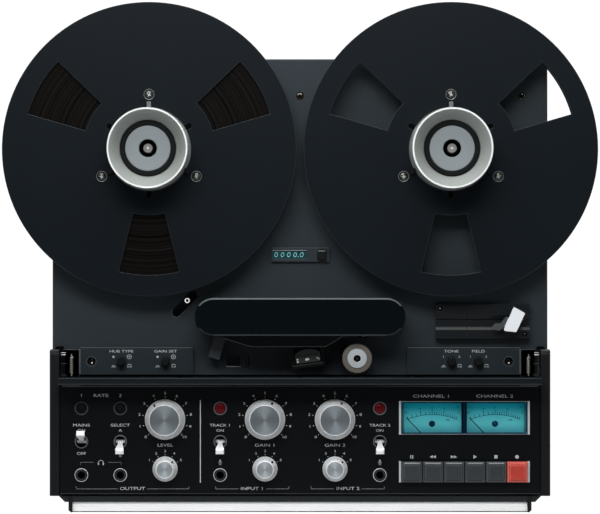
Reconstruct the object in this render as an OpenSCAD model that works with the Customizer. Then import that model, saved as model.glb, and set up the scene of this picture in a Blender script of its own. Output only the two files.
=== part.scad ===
// Open-reel tape recorder, upright, in mm, +Z up, front facing -Y.
// Depths named d are measured forward from the face of the deck plate.

/* [Cabinet] */
// Width of the deck plate and of the whole front
front_w = 452; // [446:1:470]
// Height of the deck plate's top edge above the table
top_z = 411.5; // [405:0.5:430]
// Depth of the cabinet behind the face of the deck plate
cabinet_depth = 146; // [140:1:180]
// Thickness of the cabinet's sheet walls
wall = 2.5; // [1.5:0.5:4]
// Height of the base above the table
foot_h = 9.3; // [6:0.1:14]
// Height of the chamfered skirt of the base
skirt_h = 5.8; // [4:0.2:7]
// Thickness of the rear panel
rear_t = 3; // [2:0.5:4]

/* [Deck] */
// Thickness of the deck plate
deck_t = 3; // [2:0.5:4]
// Bevel round the edge of the deck plate
deck_bevel = 1.2; // [0.4:0.2:2]
// Height of the lower edge of the deck plate
deck_bottom = 113; // [112:0.2:114]
// How far the button blocks stand ahead of the deck
block_face = 6; // [4:0.5:9]
// Lower edge of the button blocks
block_bottom = 123.7; // [123.4:0.1:125]
// Depth of the step in the deck plate below the button blocks
sill_depth = 1.6; // [1:0.2:2]
// Upper edge of the button blocks
block_top = 148.5; // [146:0.5:152]
// Free width between the two button blocks
bay_w = 195; // [190:1:200]
// Width of the hinge pocket beside each button block
pocket_w = 16; // [12:0.5:18]

/* [Control section] */
// How far the control panel's face stands ahead of the deck
panel_face = 31; // [30:0.5:34]
// Thickness of the control panel
panel_t = 3; // [2:0.5:3.5]
// Upper edge of the control panel
panel_top = 113.4; // [112.8:0.1:113.6]
// Lower edge of the control panel
panel_bottom = 16.7; // [16:0.1:18]
// Width of each side cheek
cheek_w = 8.5; // [7:0.5:10]
// How far the cheeks stand ahead of the deck
cheek_face = 33; // [32.8:0.1:36]
// Upper edge of the cheeks
cheek_top = 146.9; // [146.5:0.1:152]

/* [Access flap] */
// Thickness of the flap
flap_t = 6.4; // [5:0.2:6.8]
// Reach of the flap from its hinge line
flap_reach = 27; // [24:0.5:28]
// Height of the hinge line
flap_z = 119.3; // [119:0.1:119.6]
// Depth of the hinge line
flap_d = 29.5; // [29.2:0.1:31]
// Skin of the flap
flap_skin = 2.2; // [1.6:0.2:3]

/* [Reels] */
// Diameter of the reel flanges
reel_d = 266.5; // [240:0.5:270]
// Free gap between the two reels
reel_gap = 6.9; // [5:0.1:12]
// Height of the lowest point of the reels
reel_low = 195.25; // [194:0.25:200]
// Thickness of a flange
flange_t = 1.2; // [0.8:0.1:1.6]
// Gap between the flanges
flange_gap = 9; // [8:0.2:10]
// Depth of the face that a reel sits on
seat_d = 13; // [12:0.5:15]
// Bore of the reel
reel_bore_d = 76.2; // [76:0.1:77]
// Diameter of the winding hub
hub_d = 114.3; // [112:0.1:118]
// Inner radius of the flange windows
window_in_r = 59.8; // [59:0.2:64]
// Outer radius of the flange windows
window_out_r = 114.2; // [100:0.2:118]
// Half angle of a flange window
window_half = 13.8; // [8:0.2:18]
// Diameter of the wound tape
tape_pack_d = 244; // [180:1:250]
// Width of the tape
tape_w = 6.3; // [6:0.1:6.4]

/* [Hub adapters] */
// Radius of the collar at the flange
collar_r = 37; // [36:0.1:37.5]
// Radius of the rim at the front of the collar
collar_rim_r = 36.2; // [35:0.1:37]
// Depth of the front of the collar
collar_face = 61; // [58:0.5:64]
// Radius of the rubber ring in the collar
grip_r = 25.1; // [24:0.1:26]
// Radius of the centre disc
disc_r = 20.6; // [18:0.1:21]
// Reach of the locking lugs
lug_r = 43; // [41:0.5:44]
// Width of the locking lugs
lug_w = 3.8; // [3:0.2:5]
// Radius of the spindles
spindle_r = 5; // [4:0.5:6]

/* [Tape path] */
// Height of the pinch roller's axis
roller_z = 138.8; // [138:0.1:139.5]
// Sideways place of the pinch roller's axis
roller_x = 51.8; // [51:0.2:54]
// Radius of the pinch roller
roller_r = 13.5; // [12:0.1:13.8]
// Height of the pinch arm's pivot
pinch_pivot_z = 152; // [151:0.2:153]
// Sideways place of the pinch arm's pivot
pinch_pivot_x = 30; // [29:0.2:31]
// Swing of the pinch arm from rest to the capstan
pinch_swing = 16; // [14:0.5:18]
// Radius of the capstan
capstan_r = 3.5; // [3:0.1:4]
// Gap left between roller and capstan
nip_gap = 0.15; // [0.1:0.05:0.3]
// Length of the tension arm
arm_len = 45; // [42:0.5:48]
// Radius of the tension arm's pin
arm_pin_r = 2.3; // [1.8:0.1:2.6]
// Half length of the tension arm's slot
arm_slot_half = 10.7; // [9:0.1:12]
// Width of the tension arm's slot
arm_slot_w = 8.2; // [8:0.2:9]

/* [Head cover] */
// Length of the head cover
cover_w = 190; // [180:1:192]
// Height of the head cover's rounded bar
cover_h = 34.2; // [32:0.2:36]
// Height of the middle of the head cover
cover_z = 176.8; // [176:0.2:178]
// Depth of the front of the head cover
cover_face = 38; // [36:0.5:42]
// Chamfer round the front of the head cover
cover_edge = 1.4; // [0.8:0.2:2]
// Lower edge of the skirt below the cover
cover_skirt_z = 149.6; // [149:0.2:152]

/* [Panel layout] */
// Distance of the monitor group's outer column from the cheek
edge_in = 20.1; // [19:0.1:22]
// Step from the outer to the inner column of the monitor group
pair_step = 35.1; // [33:0.1:37]
// Step from the inner column to the monitor knobs
knob_step = 40.5; // [38:0.1:42]
// Columns of the record lamps
col_record = 72.1; // [70:0.2:74]
// Columns of the input knobs
col_input = 31.6; // [28:0.2:34]
// Row of lamps and speed buttons
row_lamp = 94.1; // [93:0.2:96]
// Row of the large knobs
row_knob = 84.1; // [82:0.2:86]
// Row of the toggles
row_toggle = 64; // [62:0.2:66]
// Row of the small knobs
row_select = 39.4; // [37:0.2:42]
// Row of the sockets
row_jack = 33.9; // [31:0.2:36]
// Outer radius of the ring nuts
ring_r = 6.15; // [5.9:0.05:6.6]
// Radius of the holes under the ring nuts
port_r = 5.05; // [5:0.05:5.3]
// Radius of a 6.35 mm socket's bore
jack_r = 3.2; // [3.18:0.01:3.25]

/* [Controls] */
// Radius of a large knob
knob_r = 18.2; // [16:0.1:20]
// Height of a large knob
knob_h = 17; // [13:0.5:20]
// Radius of a small knob
select_r = 11.3; // [9:0.1:13]
// Height of a small knob
select_h = 13.5; // [10:0.5:16]
// Lean of a toggle to either side
toggle_lean = 22; // [12:1:23]
// Length of a toggle from its pivot
toggle_len = 23; // [20:0.5:25]
// Left edge of the meters and of the keys
meter_left = 91.4; // [91:0.1:92]
// Distance of the meters and of the keys from the right cheek
meter_in = 12; // [11.5:0.1:14]
// Lower edge of the meter window
meter_bottom = 71; // [70:0.2:73]
// Upper edge of the meter window
meter_top = 100; // [98:0.2:101]
// Lower edge of the keys
key_bottom = 27.3; // [26:0.1:29]
// Upper edge of the keys
key_top = 46.5; // [44:0.1:48]
// Height of a key above the control panel
key_h = 8; // [5:0.5:10]
// Travel of a key
key_travel = 3; // [2:0.5:3.5]

/* [Fits] */
// Clearance of a shaft in its bearing
run = 0.05; // [0.03:0.01:0.08]
// Clearance round a sliding button or key
slip = 0.25; // [0.2:0.05:0.4]
// Joint line between two pieces that are fastened together
joint = 0.05; // [0.02:0.01:0.1]

/* [Hidden] */
$fn = 64;
half_w = front_w / 2;
cab_half = half_w - 1;
base_top = foot_h + skirt_h;
panel_back = panel_face - panel_t;
cheek_in = half_w - cheek_w;
box_half = cheek_in - 0.3;
skirt_half = cheek_in + 1;
block_out = cheek_in - pocket_w;
block_in = bay_w / 2;
rear_in = cabinet_depth - rear_t;
chassis_back = -20;
chassis_face = -16;
chassis_half = cab_half - 25;
post_x = chassis_half - 10;
post_top = top_z - 33.8;
reel_x = (reel_d + reel_gap) / 2;
reel_z = reel_low + reel_d / 2;
reel_front = seat_d + 2 * flange_t + flange_gap;
collar_back = reel_front + 0.2;
motor_r = 46;
motor_len = 60;
capstan_motor_r = 40;
capstan_motor_len = 56;
slot_angle = 46;
slot_x = -105.2;
slot_z = 187.9;
arm_rest = 4.65;
arm_px = slot_x - arm_len * sin(slot_angle);
arm_pz = slot_z + arm_len * cos(slot_angle);
arm_dir = slot_angle - 90 + asin(arm_rest / arm_len);
pin_x = arm_px + arm_len * cos(arm_dir);
pin_z = arm_pz + arm_len * sin(arm_dir);
pv_x = roller_x - pinch_pivot_x;
pv_z = roller_z - pinch_pivot_z;
nip_x = pinch_pivot_x + pv_x * cos(pinch_swing) - pv_z * sin(pinch_swing);
nip_z = pinch_pivot_z + pv_x * sin(pinch_swing) + pv_z * cos(pinch_swing);
nip_d = roller_r + capstan_r + nip_gap;
capstan_x = nip_x + nip_d * sin(10);
capstan_z = nip_z + nip_d * cos(10);
col_outer = cheek_in - edge_in;
col_inner = col_outer - pair_step;
col_knob = col_inner - knob_step;
meter_right = cheek_in - meter_in;
roller_back = 13;
roller_face = 25;
toggle_d = panel_face - 6;
key_pitch = (meter_right - meter_left) / 6;
meter_mid = (meter_left + meter_right) / 2;
line_mid = -(col_record + 17.9);
meter_l = (meter_left + meter_mid) / 2;
meter_r = (meter_right + meter_mid) / 2;
needle_z = meter_bottom - 10.2;
needle_lean = 44;
button_z = 135.6;
button_r = 3.9;
block_w = block_out - block_in;
buttons = [-block_in - 0.62788 * block_w, -block_in - 0.24135 * block_w,
  block_in + 0.38942 * block_w, block_in + 0.625 * block_w];
block_screw_x = block_out - 11.3;
deck_screw_x = half_w - 23.3;
button_face = 13;
button_travel = 4;
counter_x = 0.3;
counter_z = 233;
counter_w = 52.6;
counter_h = 12.9;
reset_x = 19.9;
slider_z = 135.8;
slider_w = 7.5;
slider_left = -67.3;
slider_right = -46.6;
splice_left = 123.6;
splice_right = half_w - 17;
splice_cut = 151.8;
splice_top = 188.3;
splice_bottom = 156;
lever_turn = 24.8;
lever_tilt = 10;
lever_x = splice_right - 11.6;
lever_z = 180;
lever_d = 13;
bay_left = -cab_half + 25;
bay_right = bay_left + 170;
bay_low = 26;
bay_high = 78;
bay_deep = 14;
inlet_x = bay_left + 25;
line_x = bay_left + 70;
remote_x = bay_right - 18;
rear_foot_x = skirt_half - 28.5;
inlet_z = 50;
front_reach = max(flap_d + flap_reach, collar_face, panel_face + knob_h);
deck_y = (front_reach - cabinet_depth) / 2;
jacks = [-col_outer, -col_inner, -col_record, col_record];

// Extrudes a shape drawn in X and Z from depth d0 forward to depth d1.
module front(d0, d1) {
  translate([0, deck_y - d0, 0]) rotate([90, 0, 0]) linear_extrude(d1 - d0) children();
}

// Extrudes a shape drawn in depth and Z from x0 to x1.
module across(x0, x1) {
  translate([x1, deck_y, 0]) rotate([90, 0, -90]) linear_extrude(x1 - x0) children();
}

// Extrudes a shape drawn in X and depth from z0 up to z1.
module upright(z0, z1) {
  translate([0, deck_y, z0]) mirror([0, 1, 0]) linear_extrude(z1 - z0) children();
}

// Turns a profile drawn in radius and depth about an axis that points forward.
module turned(x, z) {
  translate([x, deck_y, z]) rotate([90, 0, 0]) rotate_extrude() children();
}

// A round rod along the depth.
module rod(x, z, r, d0, d1) {
  translate([x, deck_y - d0, z]) rotate([90, 0, 0]) cylinder(r = r, h = d1 - d0);
}

// A box from corner to corner in X, depth and Z.
module block(x0, x1, d0, d1, z0, z1) {
  translate([x0, deck_y - d1, z0]) cube([x1 - x0, d1 - d0, z1 - z0]);
}

// A rectangle with round corners, drawn from corner to corner.
module rounded(x0, z0, x1, z1, r) {
  translate([x0 + r, z0]) square([x1 - x0 - 2 * r, z1 - z0]);
  translate([x0, z0 + r]) square([x1 - x0, z1 - z0 - 2 * r]);
  for (x = [x0 + r, x1 - r]) for (z = [z0 + r, z1 - r]) translate([x, z]) circle(r);
}

// A rectangle from corner to corner.
module plain(x0, z0, x1, z1) {
  translate([x0, z0]) square([x1 - x0, z1 - z0]);
}

// An upright outline with round upper corners only.
module arch(hw, z0, z1, r) {
  plain(-hw, z0, hw, z1 - r);
  plain(-hw + r, z1 - r - 1, hw - r, z1);
  for (x = [-hw + r, hw - r]) translate([x, z1 - r]) circle(r);
}

module cabinet() {
  color("#2a2e31") difference() {
    front(-rear_in, -deck_t) difference() {
      arch(cab_half, base_top, top_z - 0.5, 6);
      arch(cab_half - wall, base_top - 1, top_z - 0.5 - wall, 4);
    }
    for (i = [0:13]) block(-147 + i * 21, -141 + i * 21, -112, -52, top_z - wall - 3, top_z + 2);
  }
}

module base_housing() {
  color("#1d2022") {
    difference() {
      union() {
        front(-rear_in, panel_back) polygon([[-skirt_half, base_top], [skirt_half, base_top],
          [skirt_half - skirt_h, foot_h], [-skirt_half + skirt_h, foot_h]]);
        block(-cab_half, cab_half, -rear_in, -deck_t, base_top - wall, base_top);
        front(0, panel_back) difference() {
          plain(-box_half, base_top - 1, box_half, deck_bottom);
          plain(-box_half + wall, base_top - 1.5, box_half - wall, deck_bottom - wall);
        }
      }
      block(-skirt_half + 9, skirt_half - 9, -rear_in + 4, -4, foot_h + wall, base_top + 1);
    }
  }
}

module rca_socket(x, z) {
  translate([x, deck_y + cabinet_depth - bay_deep + joint, z]) rotate([-90, 0, 0]) {
    difference() {
      union() {
        cylinder(r = 6.4, h = 2.2);
        cylinder(r = 4.15, h = 10);
      }
      translate([0, 0, 3]) cylinder(r = 1.7, h = 8);
    }
  }
}

module rear_panel() {
  color("#26292c") difference() {
    union() {
      front(-cabinet_depth, -rear_in) arch(cab_half, base_top, top_z - 0.5, 6);
      block(bay_left - 2, bay_right + 2, -cabinet_depth + 1, -cabinet_depth + bay_deep + 2,
        bay_low - 2, bay_high + 2);
    }
    block(bay_left, bay_right, -cabinet_depth - 1, -cabinet_depth + bay_deep, bay_low, bay_high);
    block(inlet_x - 14, inlet_x + 14, -cabinet_depth, -cabinet_depth + bay_deep + 4,
      inlet_z - 11, inlet_z + 11);
    for (i = [0:9]) for (s = [-1, 1])
      block(s * 110 - 55, s * 110 + 55, -cabinet_depth - 1, -rear_in + 1,
        250 + i * 11, 254 + i * 11);
    for (i = [0:5])
      block(30, 190, -cabinet_depth - 1, -rear_in + 1, 120 + i * 11, 124 + i * 11);
  }
  color("#101112") difference() {
    block(inlet_x - 14 + joint, inlet_x + 14 - joint, -cabinet_depth + bay_deep - 2,
      -cabinet_depth + bay_deep + 18, inlet_z - 11 + joint, inlet_z + 11 - joint);
    block(inlet_x - 12, inlet_x + 12, -cabinet_depth, -cabinet_depth + bay_deep + 15,
      inlet_z - 8.5, inlet_z + 8.5);
  }
}

module chassis() {
  color("#8d9296") difference() {
    union() {
      front(chassis_back, chassis_face) difference() {
        union() {
          plain(-chassis_half, 120, chassis_half, top_z - 14.5);
          for (s = [-1, 1]) plain(s * post_x - 10, foot_h + wall, s * post_x + 10, 121);
          for (z = [180, top_z - 36.5]) plain(-cab_half + wall, z - 10, cab_half - wall, z + 10);
        }
        rounded(-45, 285, 45, 380, 8);
        rounded(-60, 215, 60, 262, 8);
        rounded(110, 140, chassis_half - 15, 255, 8);
      }
      for (s = [-1, 1]) for (z = [130, post_top]) rod(s * post_x, z, 5, chassis_face - 1, -deck_t);
      for (s = [-1, 1]) rod(s * 52, 272, 5, chassis_face - 1, -deck_t);
      for (s = [-1, 1]) rod(s * reel_x, reel_z, 12, chassis_back, chassis_face + 2);
    }
    for (s = [-1, 1]) rod(s * reel_x, reel_z, spindle_r + run, chassis_back - 5, 0);
    rod(capstan_x, capstan_z, capstan_r + run, chassis_back - 5, 0);
    rod(pinch_pivot_x, pinch_pivot_z, 4 + run, chassis_back - 5, 0);
    rod(arm_px, arm_pz, 3 + run, chassis_back - 5, 0);
  }
}

module button_block(x0, x1) {
  difference() {
    front(joint, block_face) rounded(x0, block_bottom, x1, block_top, 1.5);
    for (x = buttons) rod(x, button_z, button_r + slip, -1, block_face + 1);
    for (s = [-1, 1]) rod(s * block_screw_x, button_z, button_r, block_face - 4, block_face + 1);
  }
}

module deck_plate() {
  color("#24292c") {
    difference() {
      intersection() {
        front(-deck_t, 0) plain(-half_w, deck_bottom, half_w, top_z);
        across(-half_w - 1, half_w + 1) polygon([[-deck_t - 1, deck_bottom - 1],
          [1, deck_bottom - 1], [1, top_z - 1 - deck_bevel], [-deck_bevel, top_z],
          [-deck_t - 1, top_z]]);
        upright(deck_bottom - 1, top_z + 1) polygon([[-half_w, -deck_t - 1], [half_w, -deck_t - 1],
          [half_w, -deck_bevel], [half_w - deck_bevel - 1, 1], [-half_w + deck_bevel + 1, 1],
          [-half_w, -deck_bevel]]);
      }
      for (s = [-1, 1]) {
        rod(s * reel_x, reel_z, 14, -deck_t - 1, 1);
        front(-deck_t - 1, 1) rounded(s * (block_out + cheek_in) / 2 - pocket_w / 2 + 0.4,
          deck_bottom + 8, s * (block_out + cheek_in) / 2 + pocket_w / 2 - 0.4, cheek_top - 1, 2);
      }
      rod(capstan_x, capstan_z, 6, -deck_t - 1, 1);
      rod(pinch_pivot_x, pinch_pivot_z, 4.3, -deck_t - 1, 1);
      for (x = buttons) rod(x, button_z, button_r + slip, -deck_t - 1, 1);
      front(-deck_t - 1, 1) translate([slot_x, slot_z]) rotate(slot_angle) {
        plain(-arm_slot_half, -arm_slot_w / 2, arm_slot_half, arm_slot_w / 2);
        for (s = [-1, 1]) translate([s * arm_slot_half, 0]) circle(arm_slot_w / 2);
      }
      block(slider_left, slider_right, -deck_t - 1, 1, slider_z - 4.8, slider_z + 4.8);
      block(reset_x - 3.85 - slip, reset_x + 3.85 + slip, -deck_t - 1, 1,
        counter_z - 4.75 - slip, counter_z + 4.75 + slip);
      for (i = [-1:1]) rod(i * deck_screw_x, post_top, 4, -1.5, 1);
      block(-block_out, block_out, -sill_depth, 1, deck_bottom - 1, block_bottom - 0.3);
    }
    button_block(-block_out, -block_in);
    button_block(block_in, block_out);
  }
}

module control_panel() {
  color("#24292c") difference() {
    front(panel_back, panel_face) plain(-box_half, panel_bottom, box_half, panel_top);
    for (x = jacks) rod(x, row_jack, port_r, panel_back - 1, panel_face + 1);
    for (x = jacks) rod(x, row_toggle, port_r, panel_back - 1, panel_face + 1);
    for (x = jacks) rod(x, row_lamp, port_r, panel_back - 1, panel_face + 1);
    for (x = [-col_knob, -col_input, col_input]) for (z = [row_knob, row_select])
      rod(x, z, 4, panel_back - 1, panel_face + 1);
    block(meter_left, meter_right, panel_back - 1, panel_face + 1, meter_bottom, meter_top);
    block(meter_left, meter_right, panel_back - 1, panel_face + 1, key_bottom, key_top);
  }
}

module cheek() {
  difference() {
    across(cheek_in, half_w) {
      plain(0, base_top, cheek_face, cheek_top - 5);
      plain(0, cheek_top - 6, cheek_face - 5, cheek_top);
      translate([cheek_face - 5, cheek_top - 5]) circle(5);
    }
    upright(base_top - 1, cheek_top + 1) polygon([[half_w - 1.5, cheek_face], [half_w + 1,
      cheek_face - 2.5], [half_w + 1, cheek_face + 1], [half_w - 1.5, cheek_face + 1]]);
    translate([cheek_in - 1, deck_y - flap_d, flap_z]) rotate([0, 90, 0])
      cylinder(r = 2 + run, h = 6);
  }
}

module side_cheeks() {
  color("#2e3336") {
    cheek();
    mirror([1, 0, 0]) cheek();
  }
}

module foot_rail() {
  color("#e4e8ea") across(-skirt_half + 12.7, skirt_half - 12.7) difference() {
    plain(8, 0.8, 26, foot_h);
    plain(10, 2.8, 24, foot_h - 2);
  }
}

module feet() {
  rail_half = skirt_half - 12.7;
  color("#17191b") {
    across(-rail_half, rail_half) plain(9, 0, 25, 0.8 - joint);
    for (m = [0, 1]) mirror([m, 0, 0]) difference() {
      union() {
        block(rail_half + 0.1, rail_half + 3.4, 5, panel_back + 1.5, 0, foot_h);
        block(rail_half + 0.1, rail_half + 3.4, panel_back, panel_back + 1.5, foot_h - 1,
          base_top - 1);
      }
      front(0, panel_back + 3) polygon([[rail_half + 3.5, -1], [rail_half + 3.5, 2.1],
        [rail_half + 1.3, 0], [rail_half + 1.3, -1]]);
    }
    for (s = [-1, 1]) translate([s * rear_foot_x, deck_y + 125, 0]) {
      cylinder(r1 = 8, r2 = 9, h = 1);
      translate([0, 0, 1]) cylinder(r = 9, h = foot_h - 1);
    }
  }
}

module cover_outline(g) {
  r = cover_h / 2;
  plain(-cover_w / 2 + r, cover_z - r + g, cover_w / 2 - r, cover_z + r - g);
  for (s = [-1, 1]) translate([s * (cover_w / 2 - r), cover_z]) circle(r - g);
}

module head_cover() {
  r = cover_h / 2;
  low = cover_z - r;
  color("#15181a") difference() {
    union() {
      difference() {
        union() {
          front(0, cover_face - cover_edge) cover_outline(0);
          across(-cover_w / 2 + r, cover_w / 2 - r) polygon([[cover_face - cover_edge - 1,
            cover_z - r], [cover_face - cover_edge, cover_z - r], [cover_face, cover_z - r
            + cover_edge], [cover_face, cover_z + r - cover_edge], [cover_face - cover_edge,
            cover_z + r], [cover_face - cover_edge - 1, cover_z + r]]);
          for (s = [-1, 1]) turned(s * (cover_w / 2 - r), cover_z) polygon([[0, cover_face
            - cover_edge - 1], [r, cover_face - cover_edge - 1], [r, cover_face - cover_edge],
            [r - cover_edge, cover_face], [0, cover_face]]);
        }
        front(-1, cover_face - 2.6) cover_outline(2.2);
        block(-82, 82, -1, cover_face - 2.6, low - 1, low + 4);
      }
      front(cover_face - 4.4, cover_face - 2) polygon([[-77.5, low + 2.5], [39.6, low + 2.5],
        [39.6, low], [23.4, cover_skirt_z], [-44.2, cover_skirt_z], [-77.5, low]]);
      for (s = [-1, 1]) rod(s * 74, cover_z + 10.5, 3, 0, cover_face - 2);
    }
  }
}

module tape_head(x) {
  front(4 + joint, 29) {
    plain(x - 6.5, 160, x + 6.5, 172);
    translate([x, 164.2]) circle(6.5);
  }
}

module head_block() {
  color("#33383c") difference() {
    front(0, 4) rounded(-64, 154, 23.6, 181, 2);
    for (x = [-58, 18]) rod(x, 176, 1.6, -1, 5);
  }
  color("#c8ccce") for (x = [-48, -20, 8]) tape_head(x);
  color("#222629") translate([7, 0, 140.4]) rotate([0, -7.6, 0]) difference() {
    front(0, 16) rounded(-14.6, -9.6, 14.6, 8.6, 1.2);
    front(5, 17) rounded(-12.4, -7.4, 12.4, 9.6, 1);
  }
  color("#d7dadc") translate([7, 0, 140.4]) rotate([0, -7.6, 0]) difference() {
    front(5 + joint, 17.5) {
      plain(-11.4, -5.6, 11.4, 0.6);
      translate([0, -11]) intersection() {
        circle(18);
        plain(-11.4, 11, 11.4, 20);
      }
    }
    front(14, 18.5) rounded(-9.6, -4.4, 9.6, 4, 1);
  }
  color("#4a4f52") translate([-75.6, 0, 148]) rotate([0, 17, 0])
    front(0, 14) rounded(-5.3, -9.6, 5.3, 9.6, 0.8);
  color("#b9bdbf") for (x = [-74, 76]) {
    rod(x, 163.4, 2, 0, 26);
    rod(x, 163.4, 3.4, 26, 28);
  }
}

module splice_profile() {
  polygon([[0, splice_bottom], [7.4, splice_bottom], [8, splice_bottom + 0.6], [8, 164.4],
    [7, 166.8], [4.2, 167.6], [4.2, 173.6], [5.4, 174.2], [7, 178], [7, splice_top - 0.8],
    [6.2, splice_top], [0, splice_top]]);
}

module splicing_block() {
  color("#1b1e20") {
    difference() {
      across(splice_left, splice_cut - 0.2) splice_profile();
      rod(splice_left + 4.5, splice_top - 4.6, 2.4, 4, 9);
    }
    difference() {
      union() {
        across(splice_cut + 0.2, splice_right) splice_profile();
        translate([lever_x, 0, lever_z]) rotate([0, lever_turn, 0])
          block(-2, 2, 5, lever_d + 2.6, -2.4, 2.4);
      }
      rod(splice_right - 4.2, splice_bottom + 4.4, 2.4, 4, 9);
      translate([lever_x, deck_y - lever_d, lever_z]) rotate([0, lever_turn, 0])
        rotate([0, 90, 0]) cylinder(r = 1.5 + run, h = 12, center = true);
    }
  }
}

module cutter_lever() {
  color("#f2f2ee") translate([lever_x, deck_y - lever_d, lever_z]) rotate([0, lever_turn, 0])
    rotate([-lever_tilt, 0, 0]) {
      translate([0, -3.2, 0]) rotate([90, 0, 0]) linear_extrude(2.2)
        polygon([[-5.3, 2.2], [-4.8, 2.8], [5.9, 1.8], [6.4, 1.2], [6.1, -16.8], [5.5, -17.6],
          [-3.4, -20.7], [-4.7, -20.4], [-5.2, -19.2]]);
      translate([0, 1.8, 0]) rotate([90, 0, 0]) linear_extrude(1)
        polygon([[-4.7, -6.8], [-7.9, -7.6], [-9.7, -14.6], [-14.5, -17.4], [-15.5, -21],
          [-14.8, -23.6], [-8.2, -21.8], [-4.7, -15.9]]);
      for (s = [-1, 1]) translate([s * 3.7 - 1.4, -3.6, -2]) cube([2.8, 5.4, 4]);
      rotate([0, 90, 0]) cylinder(r = 1.5, h = 8, center = true);
      translate([-5.4, -3.6, -16]) cube([0.8, 11, 7.4]);
    }
}

module counter_display() {
  color("#14181a") difference() {
    front(0, 3) rounded(counter_x - counter_w / 2, counter_z - counter_h / 2,
      counter_x + counter_w / 2, counter_z + counter_h / 2, 1);
    block(-25.2, 5.8, 1.2, 4, counter_z - 3.8, counter_z + 3.5);
    block(reset_x - 3.85 - slip, reset_x + 3.85 + slip, -1, 4,
      counter_z - 4.75 - slip, counter_z + 4.75 + slip);
  }
  color("#0c3f46") block(-25.2 + joint, 5.8 - joint, 1.2 + joint, 1.8, counter_z - 3.8 + joint,
    counter_z + 3.5 - joint);
}

module meter_unit(x, w) {
  color("#10151a") difference() {
    block(x - w / 2, x + w / 2, 8, panel_back, needle_z - 8.6, meter_top + 4);
    block(x - w / 2 + 1.4, x + w / 2 - 1.4, 10, panel_back + 1, needle_z - 7, meter_top + 2.6);
  }
  color("#1f8d96") block(x - w / 2 + 1.4 + joint, x + w / 2 - 1.4 - joint, 18, 19,
    needle_z + 5.2, meter_top + 2.6 - joint);
  color("#3a3f42") difference() {
    rod(x, needle_z, 4.6, 10 + joint, 21.6);
    rod(x, needle_z, 1 + run, 14, 22);
  }
}

module meter_units() {
  meter_unit(meter_l, (meter_right - meter_left) / 2 - 2);
  meter_unit(meter_r, (meter_right - meter_left) / 2 - 2);
}

module meter_glass() {
  color("#b8e0e2") block(meter_left + 0.2, meter_right - 0.2, panel_back, panel_face - 0.6,
    meter_bottom + 0.2, meter_top - 0.2);
}

module ring_nut(x, z) {
  turned(x, z) polygon([[port_r + 0.1, panel_face], [ring_r, panel_face],
    [ring_r, panel_face + 0.5], [ring_r - 0.4, panel_face + 0.9], [port_r + 0.1,
    panel_face + 0.9]]);
}

module bright_trim() {
  color("#d8dcde") {
    for (x = jacks) for (z = [row_lamp, row_toggle, row_jack]) ring_nut(x, z);
    for (z = [[meter_bottom - 0.5, meter_top + 0.7], [key_bottom, key_top]]) {
      block(meter_left - 2, meter_left - 0.1, panel_face, panel_face + 0.8, z[0], z[1]);
      block(meter_right + 0.1, meter_right + 2, panel_face, panel_face + 0.8, z[0], z[1]);
    }
    block(line_mid - 0.4, line_mid + 0.4, panel_face, panel_face + 0.3, 26.8, 101.5);
  }
}

module jack_sockets() {
  color("#1a1c1e") for (x = jacks) difference() {
    union() {
      rod(x, row_jack, port_r - 0.05, 4, panel_face + 0.6);
      rod(x, row_jack, port_r + 2.2, 6, panel_back);
    }
    rod(x, row_jack, jack_r, 8, panel_face + 2);
  }
  color("#c9b36a") for (i = [0:2]) for (z = [40, 64]) rca_socket(line_x + i * 24, z);
  color("#101112") translate([remote_x, deck_y + cabinet_depth - bay_deep + joint, 64]) rotate([-90, 0, 0])
    difference() {
      cylinder(r = 9, h = 5);
      translate([0, 0, 1.5]) cylinder(r = 7, h = 5);
    }
  color("#101112") translate([remote_x, deck_y + cabinet_depth - bay_deep + joint, 40]) rotate([-90, 0, 0]) {
    cylinder(r = 8, h = 3);
    cylinder(r = 6, h = 9);
  }
}

module record_lamps() {
  color("#b3202a") for (s = [-1, 1]) turned(s * col_record, row_lamp) polygon([[0, panel_back - 4],
    [port_r + 1.4, panel_back - 4], [port_r + 1.4, panel_back], [port_r - 0.1, panel_back],
    [port_r - 0.1, panel_face + 0.6], [port_r - 1.2, panel_face + 1.4], [port_r - 2.6,
    panel_face + 1.9], [0, panel_face + 2.1]]);
}

module motor(x, z, r, len) {
  turned(x, z) polygon([[0, chassis_back - len], [r - 6, chassis_back - len], [r, chassis_back
    - len + 6], [r, chassis_back], [r - 4, chassis_back], [r - 4, chassis_back - len + 8],
    [r - 6, chassis_back - len + 4], [0, chassis_back - len + 4]]);
}

module drive_motors() {
  color("#3b4044") {
    for (s = [-1, 1]) motor(s * reel_x, reel_z, motor_r, motor_len);
    motor(capstan_x, capstan_z, capstan_motor_r, capstan_motor_len);
  }
}

module electronics() {
  floor_z = foot_h + wall;
  color("#54585b") block(-190, -118, -100, -44, floor_z, 88);
  color("#b87333") for (d = [-108, -44]) block(-176, -132, d + joint, d + 8 - joint,
    floor_z + 18, 74);
  color("#1f5a3a") for (x = [-80, -40, 0, 40, 80]) block(x, x + 1.6, -112, -34, floor_z, 108);
  color("#22262a") for (x = [120, 160]) translate([x, deck_y + 80, floor_z])
    cylinder(r = 16, h = 60);
}

module toggle_body(x) {
  difference() {
    block(x - 7, x + 7, 9, panel_back, row_toggle - 8.5, row_toggle + 8.5);
    block(x - 4.4, x + 4.4, toggle_d - 5, panel_back + 1, row_toggle - 6.6, row_toggle + 6.6);
    translate([x, deck_y - toggle_d, row_toggle]) rotate([0, 90, 0])
      cylinder(r = 2 + run, h = 12.4, center = true);
  }
}

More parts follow.
